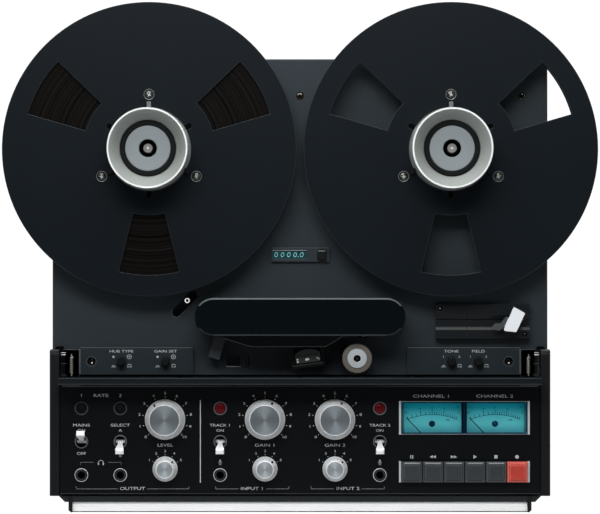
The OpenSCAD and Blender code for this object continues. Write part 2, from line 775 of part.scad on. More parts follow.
module panel_controls() {
  color("#3d4246") {
    for (x = [-col_knob, -col_input, col_input]) {
      difference() {
        rod(x, row_knob, 10, 8, panel_back);
        rod(x, row_knob, 3 + run, 12, panel_back + 1);
      }
      difference() {
        rod(x, row_select, 9, 8, panel_back);
        rod(x, row_select, 3 + run, 12, panel_back + 1);
      }
    }
    for (x = jacks) toggle_body(x);
    for (x = [-col_outer, -col_inner]) difference() {
      rod(x, row_lamp, port_r + 2.4, 10, panel_back);
      rod(x, row_lamp, port_r, 18, panel_back + 1);
    }
    difference() {
      block(meter_left - 5, meter_right + 5, 8, panel_back, key_bottom - 2, key_top + 2);
      block(meter_left - 0.3, meter_right + 0.3, 17, panel_back + 1, key_bottom - 3, key_top + 3);
    }
    for (x = buttons) difference() {
      block(x - 6, x + 6, -13, -deck_t, button_z - 6, button_z + 6);
      rod(x, button_z, button_r + slip, -10, 0);
    }
    difference() {
      block(slider_left - 3, slider_right + 3, -10, -deck_t, slider_z - 7, slider_z + 7);
      block(slider_left, slider_right, -6, 0, slider_z - 4.8, slider_z + 4.8);
    }
    difference() {
      block(reset_x - 7, reset_x + 7, -14, -deck_t, counter_z - 8, counter_z + 8);
      block(reset_x - 3.85 - slip, reset_x + 3.85 + slip, -9, 0, counter_z - 4.75 - slip,
        counter_z + 4.75 + slip);
    }
  }
}

module spindle(x) {
  color("#c4c8ca") turned(x, reel_z) polygon([[0, chassis_back - motor_len + 8],
    [motor_r - 8, chassis_back - motor_len + 8], [motor_r - 8, chassis_back - 4],
    [spindle_r, chassis_back - 4], [spindle_r, -12.5], [36, -12.5], [36, -6], [spindle_r, -6],
    [spindle_r, seat_d - 5], [42, seat_d - 5], [42, seat_d], [reel_bore_d / 2 - 0.2, seat_d],
    [reel_bore_d / 2 - 0.2, seat_d + 9], [grip_r, seat_d + 9], [grip_r, 38], [4.3, 38],
    [4.3, 43.4], [3.7, 44], [0, 44]]);
  color("#cfd3d5") turned(x, reel_z) polygon([[8, 38 + joint], [disc_r, 38 + joint], [disc_r, 45],
    [disc_r - 0.6, 45.6], [8.6, 45.6], [8, 45]]);
  color("#141618") turned(x, reel_z) polygon([[disc_r + joint, 38 + joint], [grip_r, 38 + joint],
    [grip_r, 45.6], [grip_r - 0.8, 46.4], [disc_r + 0.8, 46.4], [disc_r + joint, 45.6]]);
}

module flange_shape() {
  difference() {
    circle(reel_d / 2, $fn = 180);
    circle(reel_bore_d / 2);
    for (a = [30, 150, 270]) rotate(a) {
      translate([0, -2.6]) square([lug_r - 1.2, 5.2]);
      translate([lug_r - 1.2, 0]) circle(2.6);
      difference() {
        polygon([[0, 0], [160 * cos(window_half), -160 * sin(window_half)],
          [160 * cos(window_half), 160 * sin(window_half)]]);
        circle(window_in_r);
        difference() {
          circle(300);
          circle(window_out_r);
        }
      }
    }
    for (a = [90, 210, 330]) rotate(a) translate([49.5, 0]) circle(2.2);
  }
}

module reel(x) {
  color("#212528") {
    for (d = [seat_d, seat_d + flange_t + flange_gap]) front(d, d + flange_t)
      translate([x, reel_z]) flange_shape();
    h0 = seat_d + flange_t + joint;
    h1 = seat_d + flange_t + flange_gap - joint;
    turned(x, reel_z) polygon([[reel_bore_d / 2, h0], [hub_d / 2, h0], [hub_d / 2, h1],
      [reel_bore_d / 2, h1]]);
  }
}

module left_tape_pack() {
  m = seat_d + flange_t + flange_gap / 2;
  color("#2a1f19") turned(-reel_x, reel_z) polygon([[hub_d / 2 + joint, m - tape_w / 2],
    [tape_pack_d / 2, m - tape_w / 2], [tape_pack_d / 2, m + tape_w / 2], [hub_d / 2 + joint,
    m + tape_w / 2]]);
}

module adapter(x) {
  color("#d2d5d7") {
    turned(x, reel_z) polygon([[grip_r + run, collar_back], [collar_r, collar_back], [collar_r,
      collar_back + 6], [collar_rim_r - 1, collar_face - 12], [collar_rim_r - 1, collar_face - 5],
      [collar_rim_r, collar_face - 4.4], [collar_rim_r, collar_face - 0.5], [collar_rim_r - 0.5,
      collar_face], [collar_rim_r - 1.4, collar_face], [collar_rim_r - 1.8, collar_face - 0.6],
      [collar_rim_r - 4.6, collar_face - 5], [grip_r + 3.4, 50], [grip_r + 0.5, 45.4],
      [grip_r + run, 44]]);
    for (a = [90, 210, 330]) translate([x, 0, reel_z]) rotate([0, -a, 0])
      block(collar_r - 2, lug_r, collar_back, collar_back + 3, -lug_w / 2, lug_w / 2);
  }
}

module tension_arm() {
  color("#c9cdcf") {
    rod(arm_px, arm_pz, 3, chassis_back, -8);
    front(-9, -6) {
      translate([arm_px, arm_pz]) circle(7);
      translate([pin_x, pin_z]) circle(4);
      translate([arm_px, arm_pz]) rotate(arm_dir) plain(0, -3, arm_len, 3);
    }
    difference() {
      rod(pin_x, pin_z, arm_pin_r, -7, 24);
      rod(pin_x, pin_z, arm_pin_r - 0.9, 22.6, 25);
    }
  }
}

module pinch_arm() {
  color("#3a3230") {
    rod(pinch_pivot_x, pinch_pivot_z, 4, chassis_back, 6);
    front(4, 8) {
      translate([pinch_pivot_x, pinch_pivot_z]) circle(6);
      translate([roller_x, roller_z]) circle(6.5);
      translate([pinch_pivot_x, pinch_pivot_z]) rotate(atan2(pv_z, pv_x))
        plain(0, -4.5, sqrt(pv_x * pv_x + pv_z * pv_z), 4.5);
    }
    rod(roller_x, roller_z, 4.6, 7, roller_back - 0.4);
    rod(roller_x, roller_z, 2.5, 7, roller_face - 3);
  }
}

module pinch_roller() {
  color("#6a665e") turned(roller_x, roller_z) polygon([[9 + joint, roller_back], [roller_r - 0.6,
    roller_back], [roller_r, roller_back + 0.6], [roller_r, roller_face - 1.4], [roller_r - 0.6,
    roller_face - 0.8], [9 + joint, roller_face - 0.8]]);
  color("#d5d8da") turned(roller_x, roller_z) polygon([[2.5 + run, roller_back], [9, roller_back],
    [9, roller_face - 0.4], [8.4, roller_face], [3.4, roller_face], [3, roller_face - 0.4],
    [3, roller_face - 3.4], [2.5 + run, roller_face - 3.4]]);
}

module capstan() {
  color("#d9dcde") turned(capstan_x, capstan_z) polygon([[0, chassis_back - capstan_motor_len + 8],
    [capstan_motor_r - 8, chassis_back - capstan_motor_len + 8], [capstan_motor_r - 8,
    chassis_back - 4], [capstan_r, chassis_back - 4], [capstan_r, 25.5], [capstan_r - 0.5, 26],
    [0, 26]]);
}

module access_flap() {
  fw = box_half - 0.3;
  low = flap_z - flap_t / 2;
  color("#2b3033") {
    difference() {
      union() {
        block(-fw, fw, flap_d, flap_d + flap_reach, low, low + flap_t);
        translate([-fw, deck_y - flap_d, flap_z]) rotate([0, 90, 0])
          cylinder(r = flap_t / 2, h = 2 * fw);
        translate([-cheek_in - 4, deck_y - flap_d, flap_z]) rotate([0, 90, 0])
          cylinder(r = 2, h = 2 * cheek_in + 8);
      }
      for (i = [0:3]) block(-fw + 3 + i * (2 * fw - 3) / 4, -fw + i * (2 * fw - 3) / 4
        + (2 * fw - 3) / 4, flap_d + flap_t / 2 + 1, flap_d + flap_reach - flap_skin,
        low + flap_skin, low + flap_t + 1);
    }
  }
}

module counter_reset() {
  color("#0f1113") block(reset_x - 3.85, reset_x + 3.85, -5, 6, counter_z - 4.75,
    counter_z + 4.75);
}

module push_button(x) {
  color("#131517") turned(x, button_z) polygon([[0, -5], [button_r, -5], [button_r, button_face
    - 0.6], [button_r - 0.6, button_face], [0, button_face]]);
}

module tape_slider() {
  color("#2f3437") {
    block(slider_right - slider_w - 0.8, slider_right - 0.8, -5.7, 1.6, slider_z - 4.5,
      slider_z + 4.5);
    block(slider_right - slider_w / 2 - 1.6, slider_right - slider_w / 2, 1, 3, slider_z - 4.5,
      slider_z + 4.5);
  }
}

module speed_button(x) {
  color("#17191b") turned(x, row_lamp) polygon([[0, panel_back - 6], [port_r - 0.2, panel_back - 6],
    [port_r - 0.2, panel_face + 1.2], [port_r - 1, panel_face + 2], [0, panel_face + 1.6]]);
}

module toggle(x, side) {
  color("#eeeeea") translate([x, deck_y - toggle_d, row_toggle]) rotate([-side * toggle_lean, 0, 0])
    union() {
      rotate([0, 90, 0]) cylinder(r = 2, h = 12, center = true);
      intersection() {
        translate([0, 0, -6]) linear_extrude(12) {
          translate([-2.1, -9]) square([4.2, 10]);
          hull() {
            translate([-2.1, -10]) square([4.2, 1.2]);
            for (m = [-1, 1]) translate([m * 2.1, 1.7 - toggle_len]) circle(1.7, $fn = 32);
          }
        }
        translate([-6, 0, 0]) rotate([90, 0, 90]) linear_extrude(12) {
          translate([-9, -1.3]) square([10, 2.6]);
          hull() {
            translate([-10, -1.3]) square([1.2, 2.6]);
            for (m = [-1, 1]) translate([1.4 - toggle_len, m * 1.1]) circle(1.4, $fn = 32);
          }
        }
      }
    }
}

module knob(x) {
  p = panel_face;
  color("#c9cccd") turned(x, row_knob) polygon([[0, 12.5], [3, 12.5], [3, p + 0.6],
    [knob_r - 0.3, p + 0.6], [knob_r, p + 0.9], [knob_r, p + 2.2], [knob_r - 0.4, p + 2.7],
    [knob_r - 4.2, p + knob_h - 1.2], [knob_r - 4.5, p + knob_h - 0.4], [knob_r - 5, p + knob_h],
    [knob_r - 5.4, p + knob_h], [knob_r - 5.7, p + knob_h - 0.5], [0, p + knob_h - 0.5]]);
}

module selector(x) {
  p = panel_face;
  color("#c9cccd") turned(x, row_select) polygon([[0, 12.5], [3, 12.5], [3, p + 0.6],
    [select_r - 0.3, p + 0.6], [select_r, p + 0.9], [select_r, p + 2], [select_r - 0.3, p + 2.4],
    [select_r - 3.2, p + select_h - 1], [select_r - 3.5, p + select_h - 0.3], [select_r - 3.9,
    p + select_h], [select_r - 4.2, p + select_h], [select_r - 4.5, p + select_h - 0.4],
    [0, p + select_h - 0.4]]);
}

module key(i, tint) {
  x0 = meter_left + i * key_pitch + slip;
  x1 = meter_left + (i + 1) * key_pitch - slip;
  z0 = key_bottom + slip;
  z1 = key_top - slip;
  f = panel_face + key_h;
  color(tint) {
    block(x0, x1, 21, f - 2.6, z0, z1);
    intersection() {
      across(x0, x1) polygon([[f - 3, z0], [f - 2.6, z0], [f - 1.8, z0 + 0.7], [f - 1.8, z0 + 2],
        [f - 0.2, z0 + 2.8], [f - 0.6, (z0 + z1) / 2], [f, z1 - 3.6], [f - 1.8, z1 - 2],
        [f - 1.8, z1 - 0.7], [f - 2.6, z1], [f - 3, z1]]);
      upright(z0, z1) polygon([[x0, f - 3], [x0, f - 2.6], [x0 + 0.7, f - 1.8], [x0 + 1.6,
        f - 1.8], [x0 + 2.6, f], [x1 - 2.6, f], [x1 - 1.6, f - 1.8], [x1 - 0.7, f - 1.8],
        [x1, f - 2.6], [x1, f - 3]]);
    }
  }
}

module needle(x) {
  color("#141414") {
    rod(x, needle_z, 1, 14.5, 23);
    rod(x, needle_z, 2.6, 22, 23.4);
    translate([x, 0, needle_z]) rotate([0, -needle_lean, 0])
      block(-0.4, 0.4, 22.4, 23, -6, 33.6);
  }
}

cabinet();
base_housing();
rear_panel();
chassis();
deck_plate();
control_panel();
side_cheeks();
foot_rail();
feet();
head_cover();
head_block();
splicing_block();
counter_display();
meter_units();
meter_glass();
bright_trim();
jack_sockets();
record_lamps();
drive_motors();
electronics();
panel_controls();
spindle(-reel_x);  // left_spindle
reel(-reel_x);  // left_reel
left_tape_pack();
adapter(-reel_x);  // left_adapter
spindle(reel_x);  // right_spindle
reel(reel_x);  // right_reel
adapter(reel_x);  // right_adapter
tension_arm();
pinch_arm();
pinch_roller();
capstan();
access_flap();
counter_reset();
cutter_lever();
push_button(buttons[0]);  // size_button
push_button(buttons[1]);  // level_button
push_button(buttons[2]);  // eq_button
push_button(buttons[3]);  // flux_button
tape_slider();
speed_button(-col_outer);  // speed_low_button
speed_button(-col_inner);  // speed_high_button
toggle(-col_outer, 1);  // power_toggle
toggle(-col_inner, -1);  // monitor_toggle
toggle(-col_record, -1);  // left_toggle
toggle(col_record, -1);  // right_toggle
knob(-col_knob);  // volume_knob
knob(-col_input);  // left_knob
knob(col_input);  // right_knob
selector(-col_knob);  // monitor_selector
selector(-col_input);  // left_selector
selector(col_input);  // right_selector
key(0, "#3a3f42");  // pause_key
key(1, "#3a3f42");  // rewind_key
key(2, "#3a3f42");  // forward_key
key(3, "#3a3f42");  // play_key
key(4, "#3a3f42");  // stop_key
key(5, "#b0403a");  // record_key
needle(meter_l);  // left_needle
needle(meter_r);  // right_needle
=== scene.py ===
"""Open-reel tape recorder: finishes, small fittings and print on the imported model."""
import random
from math import cos, hypot, pi, radians, sin

import bmesh
import bpy
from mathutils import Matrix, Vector


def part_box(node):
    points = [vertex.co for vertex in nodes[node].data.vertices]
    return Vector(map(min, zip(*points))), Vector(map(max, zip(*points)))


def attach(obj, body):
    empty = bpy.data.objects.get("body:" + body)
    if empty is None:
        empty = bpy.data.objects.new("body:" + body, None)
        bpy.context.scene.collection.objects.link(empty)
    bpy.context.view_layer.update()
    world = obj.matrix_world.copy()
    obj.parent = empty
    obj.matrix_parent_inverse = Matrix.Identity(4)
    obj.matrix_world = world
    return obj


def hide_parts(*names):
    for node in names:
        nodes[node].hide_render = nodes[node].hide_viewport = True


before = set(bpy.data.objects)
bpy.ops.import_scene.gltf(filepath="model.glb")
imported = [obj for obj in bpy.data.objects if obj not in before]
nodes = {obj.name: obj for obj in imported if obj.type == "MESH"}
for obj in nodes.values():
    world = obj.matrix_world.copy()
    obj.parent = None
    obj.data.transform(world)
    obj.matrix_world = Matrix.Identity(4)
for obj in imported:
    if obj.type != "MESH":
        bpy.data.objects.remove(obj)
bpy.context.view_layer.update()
scene = bpy.context.scene
scene.view_settings.view_transform = "Standard"

# Places taken from the construction, in mm. Depth is measured forward from the deck plate.
MM = 0.001
DECK_Y = -42.5
PANEL = 31.0
REEL_X, REEL_Z = 136.7, 328.5
OUTER, INNER, KNOB, RECORD, INPUT = 197.4, 162.3, 121.8, 72.1, 31.6
LAMP_ROW, KNOB_ROW, TOGGLE_ROW, SELECT_ROW, JACK_ROW = 94.1, 84.1, 64.0, 39.4, 33.9
METER_LEFT, METER_RIGHT, METER_LOW, METER_TOP = 91.4, 205.5, 71.0, 100.0
KEY_PITCH = (METER_RIGHT - METER_LEFT) / 6
METER_MIDDLE = (METER_LEFT + METER_RIGHT) / 2
METERS = (119.925, 176.975)
BUTTONS = (-162.8, -122.6, 138.0, 162.5)
BUTTON_Z = 135.6
BLOCK_FACE, BLOCK_SCREW = 6.0, 190.2
COUNTER_FACE = 3.0
BAY_FLOOR = -132.0
LINE_SOCKETS = (-130, -106, -82)
REEL_FACE = 24.4
TAPE_MID, TAPE_HALF = 18.7, 3.15
ROLLER = (51.8, 138.8)
SHIELD_X, SHIELD_Z, SHIELD_TILT = 7, 140.4, 7.6
COVER_STRAIGHT = 77
SHIELD_FACE, TRAY_FACE, SKIRT_FACE = 17.8, 16.0, 36.0
FLAP_FACE, KEY_FACE, CHEEK_FACE = 56.5, 37.2, 33.0
CARD_FACE, DISPLAY_FACE = 19.3, 1.8
HUB_FLOOR, DISC_RIM = 38.03, 20.63
LUG_FACE, LUG_INNER = 27.8, 37
CONTROLS = (-OUTER, -INNER, -RECORD, RECORD)
SKIRT = ((-74.0, 159.0), (-44.1, 149.95), (23.2, 149.95), (38.6, 159.4))


def at(x, d, z):
    """A point of the shared frame from place across, depth forward and height, in mm."""
    return Vector((x * MM, (DECK_Y - d) * MM, z * MM))


def polar(x, z, radius, degrees):
    """The place at a radius and an angle, counter-clockwise from +X, about (x, z)."""
    a = radians(degrees)
    return x + radius * cos(a), z + radius * sin(a)


def from_axis(x, z, ax, az):
    """Distance of the place (x, z) from an axis at (ax, az)."""
    return hypot(x - ax, z - az)


def link(name, data):
    """A new object in the scene."""
    made = bpy.data.objects.new(name, data)
    scene.collection.objects.link(made)
    return made


def tint(red, green, blue):
    """A written screen colour as the linear colour that shaders take."""
    def linear(v):
        v /= 255
        return v / 12.92 if v <= 0.04045 else ((v + 0.055) / 1.055) ** 2.4
    return (linear(red), linear(green), linear(blue), 1.0)


# ---------------------------------------------------------------- shader node groups

def new_group(name, takes, gives):
    """An empty node group, the sockets it takes values from and those it gives them to."""
    tree = bpy.data.node_groups.new(name, "ShaderNodeTree")
    kinds = {"colour": "NodeSocketColor", "value": "NodeSocketFloat"}
    for label, kind, start in takes:
        socket = tree.interface.new_socket(label, in_out="INPUT", socket_type=kinds[kind])
        socket.default_value = start
    for label, kind in gives:
        tree.interface.new_socket(label, in_out="OUTPUT", socket_type=kinds[kind])
    return (tree, tree.nodes.new("NodeGroupInput").outputs,
            tree.nodes.new("NodeGroupOutput").inputs)


def put(tree, kind, settings=None, **inputs):
    """Adds a node; settings are its own properties, inputs its sockets by name or as i0, i1."""
    made = tree.nodes.new("ShaderNode" + kind)
    for label, value in (settings or {}).items():
        setattr(made, label, value)
    for label, value in inputs.items():
        numbered = label[0] == "i" and label[1:].isdigit()
        index = int(label[1:]) if numbered else label.replace("_", " ")
        if isinstance(value, bpy.types.NodeSocket):
            tree.links.new(value, made.inputs[index])
        else:
            made.inputs[index].default_value = value
    return made


def sums(tree, operation, *terms):
    """The result of a math node on one to three numbers or links."""
    inputs = {"i%d" % i: term for i, term in enumerate(terms)}
    return put(tree, "Math", {"operation": operation}, **inputs).outputs[0]


def mixed_by(tree, share, first, second):
    """One colour over another by a share."""
    made = put(tree, "Mix", {"data_type": "RGBA"}, i0=share, i6=first, i7=second)
    return made.outputs[2]


def object_place(tree):
    """The object's own coordinates."""
    return put(tree, "TexCoord").outputs["Object"]


def noise(tree, scale, detail, **more):
    """Noise over the object's own coordinates."""
    return put(tree, "TexNoise", Vector=object_place(tree), Scale=scale, Detail=detail,
               **more).outputs["Fac"]


def make_paint_grain():
    """Fine grain and broad unevenness of a painted or moulded skin."""
    tree, taken, given = new_group("paint_grain", [
        ("Colour", "colour", (0.5, 0.5, 0.5, 1)), ("Grain scale", "value", 900.0),
        ("Grain depth", "value", 0.08), ("Mottle", "value", 0.06),
        ("Roughness", "value", 0.5), ("Roughness spread", "value", 0.08)],
        [("Colour", "colour"), ("Roughness", "value"), ("Height", "value")])
    fine = noise(tree, taken["Grain scale"], 3.0, Roughness=0.6)
    broad = noise(tree, 14.0, 3.0)
    fine_off = sums(tree, "SUBTRACT", fine, 0.5)
    broad_off = sums(tree, "SUBTRACT", broad, 0.5)
    lift = sums(tree, "MULTIPLY_ADD", fine_off, taken["Grain depth"], 1.0)
    lift = sums(tree, "MULTIPLY_ADD", broad_off, taken["Mottle"], lift)
    tinted = put(tree, "VectorMath", {"operation": "SCALE"}, i0=taken["Colour"], Scale=lift)
    uneven = sums(tree, "ADD", fine_off, broad_off)
    rough = sums(tree, "MULTIPLY_ADD", uneven, taken["Roughness spread"], taken["Roughness"])
    tree.links.new(tinted.outputs[0], given["Colour"])
    tree.links.new(rough, given["Roughness"])
    tree.links.new(fine, given["Height"])
    return tree


def make_edge_wear():
    """Rubbed edges: a worn colour where the rounded edge turns, broken up by noise."""
    tree, taken, given = new_group("edge_wear", [
        ("Colour", "colour", (0.1, 0.1, 0.1, 1)), ("Worn colour", "colour", (0.3, 0.3, 0.3, 1)),
        ("Amount", "value", 0.5), ("Reach", "value", 0.0006)],
        [("Colour", "colour"), ("Edge", "value")])
    soft = put(tree, "Bevel", {"samples": 4}, Radius=taken["Reach"])
    flat = put(tree, "NewGeometry").outputs["Normal"]
    agree = put(tree, "VectorMath", {"operation": "DOT_PRODUCT"}, i0=soft.outputs[0],
                i1=flat).outputs["Value"]
    turn = sums(tree, "SUBTRACT", 1.0, agree)
    edge = put(tree, "MapRange", i0=turn, i1=0.02, i2=0.3).outputs[0]
    broken = put(tree, "MapRange", i0=noise(tree, 160.0, 4.0), i1=0.35, i2=0.7).outputs[0]
    mask = sums(tree, "MULTIPLY", edge, broken)
    mask = sums(tree, "MULTIPLY", mask, taken["Amount"])
    rubbed = mixed_by(tree, mask, taken["Colour"], taken["Worn colour"])
    tree.links.new(rubbed, given["Colour"])
    tree.links.new(mask, given["Edge"])
    return tree


def make_settled_dust():
    """A light film on faces that look up."""
    tree, taken, given = new_group("settled_dust", [
        ("Colour", "colour", (0.1, 0.1, 0.1, 1)), ("Amount", "value", 0.2)],
        [("Colour", "colour"), ("Film", "value")])
    normal = put(tree, "NewGeometry").outputs["Normal"]
    up = put(tree, "SeparateXYZ", i0=normal).outputs["Z"]
    up = put(tree, "MapRange", i0=up, i1=0.6, i2=0.98).outputs[0]
    film = sums(tree, "MULTIPLY", up, noise(tree, 45.0, 5.0))
    film = sums(tree, "MULTIPLY", film, taken["Amount"])
    filmed = mixed_by(tree, film, taken["Colour"], tint(150, 148, 142))
    tree.links.new(filmed, given["Colour"])
    tree.links.new(film, given["Film"])
    return tree


def make_turned_lines():
    """Concentric tool lines about an axis that points forward."""
    tree, taken, given = new_group("turned_lines", [
        ("Colour", "colour", (0.6, 0.6, 0.6, 1)), ("Axis across", "value", 0.0),
        ("Axis height", "value", 0.0), ("Lines per metre", "value", 3000.0),
        ("Depth of shade", "value", 0.15)],
        [("Colour", "colour"), ("Height", "value")])
    split = put(tree, "SeparateXYZ", i0=object_place(tree))
    across = sums(tree, "SUBTRACT", split.outputs["X"], taken["Axis across"])
    upward = sums(tree, "SUBTRACT", split.outputs["Z"], taken["Axis height"])
    out = sums(tree, "SQRT", sums(tree, "MULTIPLY_ADD", across, across,
                                  sums(tree, "MULTIPLY", upward, upward)))
    step = sums(tree, "MULTIPLY", out, taken["Lines per metre"])
    lines = put(tree, "TexNoise", {"noise_dimensions": "1D"}, W=step, Scale=1.0,
                Detail=2.0).outputs["Fac"]
    lift = sums(tree, "MULTIPLY_ADD", sums(tree, "SUBTRACT", lines, 0.5),
                taken["Depth of shade"], 1.0)
    tinted = put(tree, "VectorMath", {"operation": "SCALE"}, i0=taken["Colour"], Scale=lift)
    tree.links.new(tinted.outputs[0], given["Colour"])
    tree.links.new(lines, given["Height"])
    return tree


GRAIN, WEAR, DUST, LINES = (make_paint_grain(), make_edge_wear(), make_settled_dust(),
                            make_turned_lines())

# The materials, by name.
FINISH = {}


def finish(name, colour, rough, metal, grain, depth, bump, mottle=0.08, spread=0.08, worn=None,
           wear=0.4, dust=0.0, shine=0.5, coat=0.0, lines=None, spun=0.0):
    """One material: grain, then tool lines, wear and dust where asked, on a Principled shader."""
    made = FINISH[name] = bpy.data.materials.new(name)
    made.use_nodes = True
    tree = made.node_tree
    shader = tree.nodes["Principled BSDF"]
    grown = put(tree, "Group", {"node_tree": GRAIN}, Colour=tint(*colour), Grain_scale=grain,
                Grain_depth=depth, Mottle=mottle, Roughness=rough, Roughness_spread=spread)
    skin, height = grown.outputs["Colour"], grown.outputs["Height"]
    if lines:
        x, z, count, shade = lines
        cut = put(tree, "Group", {"node_tree": LINES}, Colour=skin, Axis_across=x * MM,
                  Axis_height=z * MM, Lines_per_metre=count, Depth_of_shade=shade)
        skin, height = cut.outputs["Colour"], cut.outputs["Height"]
    if worn:
        rubbed = put(tree, "Group", {"node_tree": WEAR}, Colour=skin,
                     Worn_colour=tint(*worn), Amount=wear)
        skin = rubbed.outputs["Colour"]
    if dust:
        filmed = put(tree, "Group", {"node_tree": DUST}, Colour=skin, Amount=dust)
        skin = filmed.outputs["Colour"]
    raised = put(tree, "Bump", Height=height, Strength=bump, Distance=0.0001)
    tree.links.new(skin, shader.inputs["Base Color"])
    tree.links.new(grown.outputs["Roughness"], shader.inputs["Roughness"])
    tree.links.new(raised.outputs["Normal"], shader.inputs["Normal"])
    for label, value in (("Metallic", metal), ("Specular IOR Level", shine), ("Coat Weight", coat),
                         ("Coat Roughness", 0.12), ("Anisotropic", spun),
                         ("Anisotropic Rotation", 0.25 if spun else 0.0)):
        shader.inputs[label].default_value = value
    if spun:
        way = put(tree, "Tangent", {"direction_type": "RADIAL", "axis": "Y"})
        tree.links.new(way.outputs[0], shader.inputs["Tangent"])
    return made


# ---------------------------------------------------------------- finishes of this machine

# Name, colour, roughness, metal, grain scale, grain depth and bump.
finish("deck_paint", (38, 45, 50), 0.52, 0, 1400, 0.30, 0.25, mottle=0.10, worn=(120, 124, 126),
       wear=0.35, dust=0.1, shine=0.15)
finish("block_paint", (29, 37, 41), 0.5, 0, 1400, 0.25, 0.2, dust=0.1, shine=0.15)
finish("cabinet_paint", (34, 38, 41), 0.6, 0, 1100, 0.28, 0.35, worn=(110, 113, 115), wear=0.35,
       dust=0.1, shine=0.2)
finish("base_plastic", (26, 31, 34), 0.55, 0, 1500, 0.2, 0.2, worn=(70, 73, 75), wear=0.3,
       dust=0.1, shine=0.2)
finish("panel_paint", (5, 7, 10), 0.4, 0, 1600, 0.3, 0.12, mottle=0.1, worn=(70, 73, 75),
       wear=0.25, shine=0.1)
finish("cheek_plastic", (14, 17, 20), 0.5, 0, 1500, 0.25, 0.25, worn=(75, 78, 80), wear=0.3,
       dust=0.12, shine=0.12)
finish("flap_plastic", (13, 17, 20), 0.45, 0, 1500, 0.2, 0.18, dust=0.12, shine=0.12)
finish("cover_plastic", (4, 9, 12), 0.3, 0, 1800, 0.15, 0.05, dust=0.05, shine=0.08)
finish("cover_skirt", (2, 3, 4), 0.5, 0, 1600, 0.2, 0.15, shine=0.04)
# Lighter finish for the cover's top chamfer: a painted highlight.
finish("cover_chamfer_highlight", (78, 82, 84), 0.28, 0, 1800, 0.15, 0.05, shine=0.4)
# Lighter edge finish: mostly a painted highlight along bevels and edge lines, with some rubbed
# wear.
finish("edge_highlight_and_wear", (74, 79, 82), 0.4, 0, 700, 0.35, 0.1, mottle=0.3, shine=0.3)
finish("splice_anodised", (20, 24, 27), 0.34, 0, 1500, 0.2, 0.12, worn=(120, 124, 126), wear=0.4,
       dust=0.06, shine=0.2)
finish("splice_lip", (16, 18, 20), 0.4, 0.1, 1500, 0.15, 0.1, shine=0.3)
finish("rail_aluminium", (252, 253, 254), 0.45, 0, 1300, 0.06, 0.12, mottle=0.05,
       worn=(248, 248, 248), wear=0.3)
finish("foot_rubber", (20, 22, 24), 0.8, 0, 1200, 0.35, 0.4, dust=0.15, shine=0.15)
finish("collar_aluminium", (150, 155, 152), 0.55, 0.3, 1600, 0.06, 0.06, mottle=0.05, shine=0.3)
# Near-white finish for the collar's rim: a painted highlight along its outer edge.
finish("collar_rim_highlight", (236, 239, 238), 0.4, 0.3, 1200, 0.06, 0.04)
finish("lug_steel", (96, 101, 101), 0.5, 0.3, 1400, 0.1, 0.08, shine=0.3)
finish("disc_aluminium", (130, 137, 140), 0.5, 0.3, 1700, 0.12, 0.1, shine=0.3)
finish("knob_aluminium", (226, 230, 232), 0.42, 0.15, 1600, 0.05, 0.05)
# Near-white finish for knob edge rings, the arm's pin tip and screw centres: a painted highlight
# and painted glints.
finish("edge_and_glint_highlight", (240, 242, 243), 0.35, 0.3, 1600, 0.05, 0.04)
finish("bright_metal", (196, 200, 202), 0.4, 0.4, 1500, 0.05, 0.05)
for name, colour in (("jack_ring", (200, 206, 208)), ("toggle_ring", (92, 97, 99)),
                     ("speed_ring", (64, 68, 70))):
    finish(name, colour, 0.4, 0.4, 1500, 0.1, 0.05)
finish("shield_chrome", (96, 98, 100), 0.16, 1, 1200, 0.1, 0.04, spread=0.04)
finish("steel", (168, 172, 175), 0.32, 0.9, 1500, 0.08, 0.08, worn=(220, 221, 222), wear=0.3)
finish("dark_steel", (40, 44, 47), 0.42, 0.5, 1400, 0.15, 0.12, shine=0.3)
finish("spindle_nickel", (150, 149, 146), 0.35, 0.5, 1400, 0.1, 0.05)
finish("screw_dark", (74, 73, 69), 0.24, 0.9, 1400, 0.15, 0.05)
finish("speed_black", (5, 6, 7), 0.3, 0, 1600, 0.2, 0.08, shine=0.12)
finish("black_plastic", (9, 11, 12), 0.4, 0, 1600, 0.25, 0.15, worn=(60, 62, 64), wear=0.3,
       shine=0.2)
# The black finish is the pinch arm's own black and painted shade on the tension arm and the lower
# lugs; the guide's grey is painted light on the guide plate in the cover's shadow.
for name, colour in (("matte_black_and_shade", (10, 12, 13)), ("guide_grey_lightened", (50, 55, 58))):
    finish(name, colour, 0.5, 0, 1500, 0.2, 0.12, shine=0.12)
finish("slider_grey", (34, 38, 41), 0.45, 0, 1500, 0.2, 0.12, shine=0.2)
finish("socket_white", (206, 206, 200), 0.5, 0, 1200, 0.06, 0.06)
finish("socket_red", (150, 30, 28), 0.5, 0, 1200, 0.08, 0.06)
finish("shield_plate", (84, 85, 84), 0.26, 0.5, 1300, 0.2, 0.06, mottle=0.4)
# Near-black: the pointer dots' own black, and painted shade in holes, gaps, recesses and notches.
finish("black_and_painted_shade", (2, 3, 3), 0.7, 0, 1200, 0.3, 0.2, shine=0.03)
finish("roller_rubber", (96, 93, 85), 0.7, 0, 1300, 0.2, 0.3, shine=0.2,
       lines=(*ROLLER, 2400, 0.25))
finish("roller_hub", (186, 194, 198), 0.42, 0.35, 1500, 0.06, 0.08,
       lines=(*ROLLER, 2600, 0.35))
finish("grip_rubber", (12, 14, 15), 0.7, 0, 620, 2.2, 0.8, shine=0.12)
finish("tape_brown", (11, 9, 8), 0.45, 0, 1500, 0.15, 0.3, shine=0.04,
       lines=(-REEL_X, REEL_Z, 420, 3.8))
finish("toggle_white", (246, 248, 248), 0.35, 0, 900, 0.03, 0.06, mottle=0.03, coat=0.1)
finish("lever_white", (206, 211, 215), 0.45, 0, 900, 0.03, 0.08, mottle=0.03)
finish("blade_grey", (54, 58, 60), 0.4, 0.3, 1400, 0.15, 0.1)
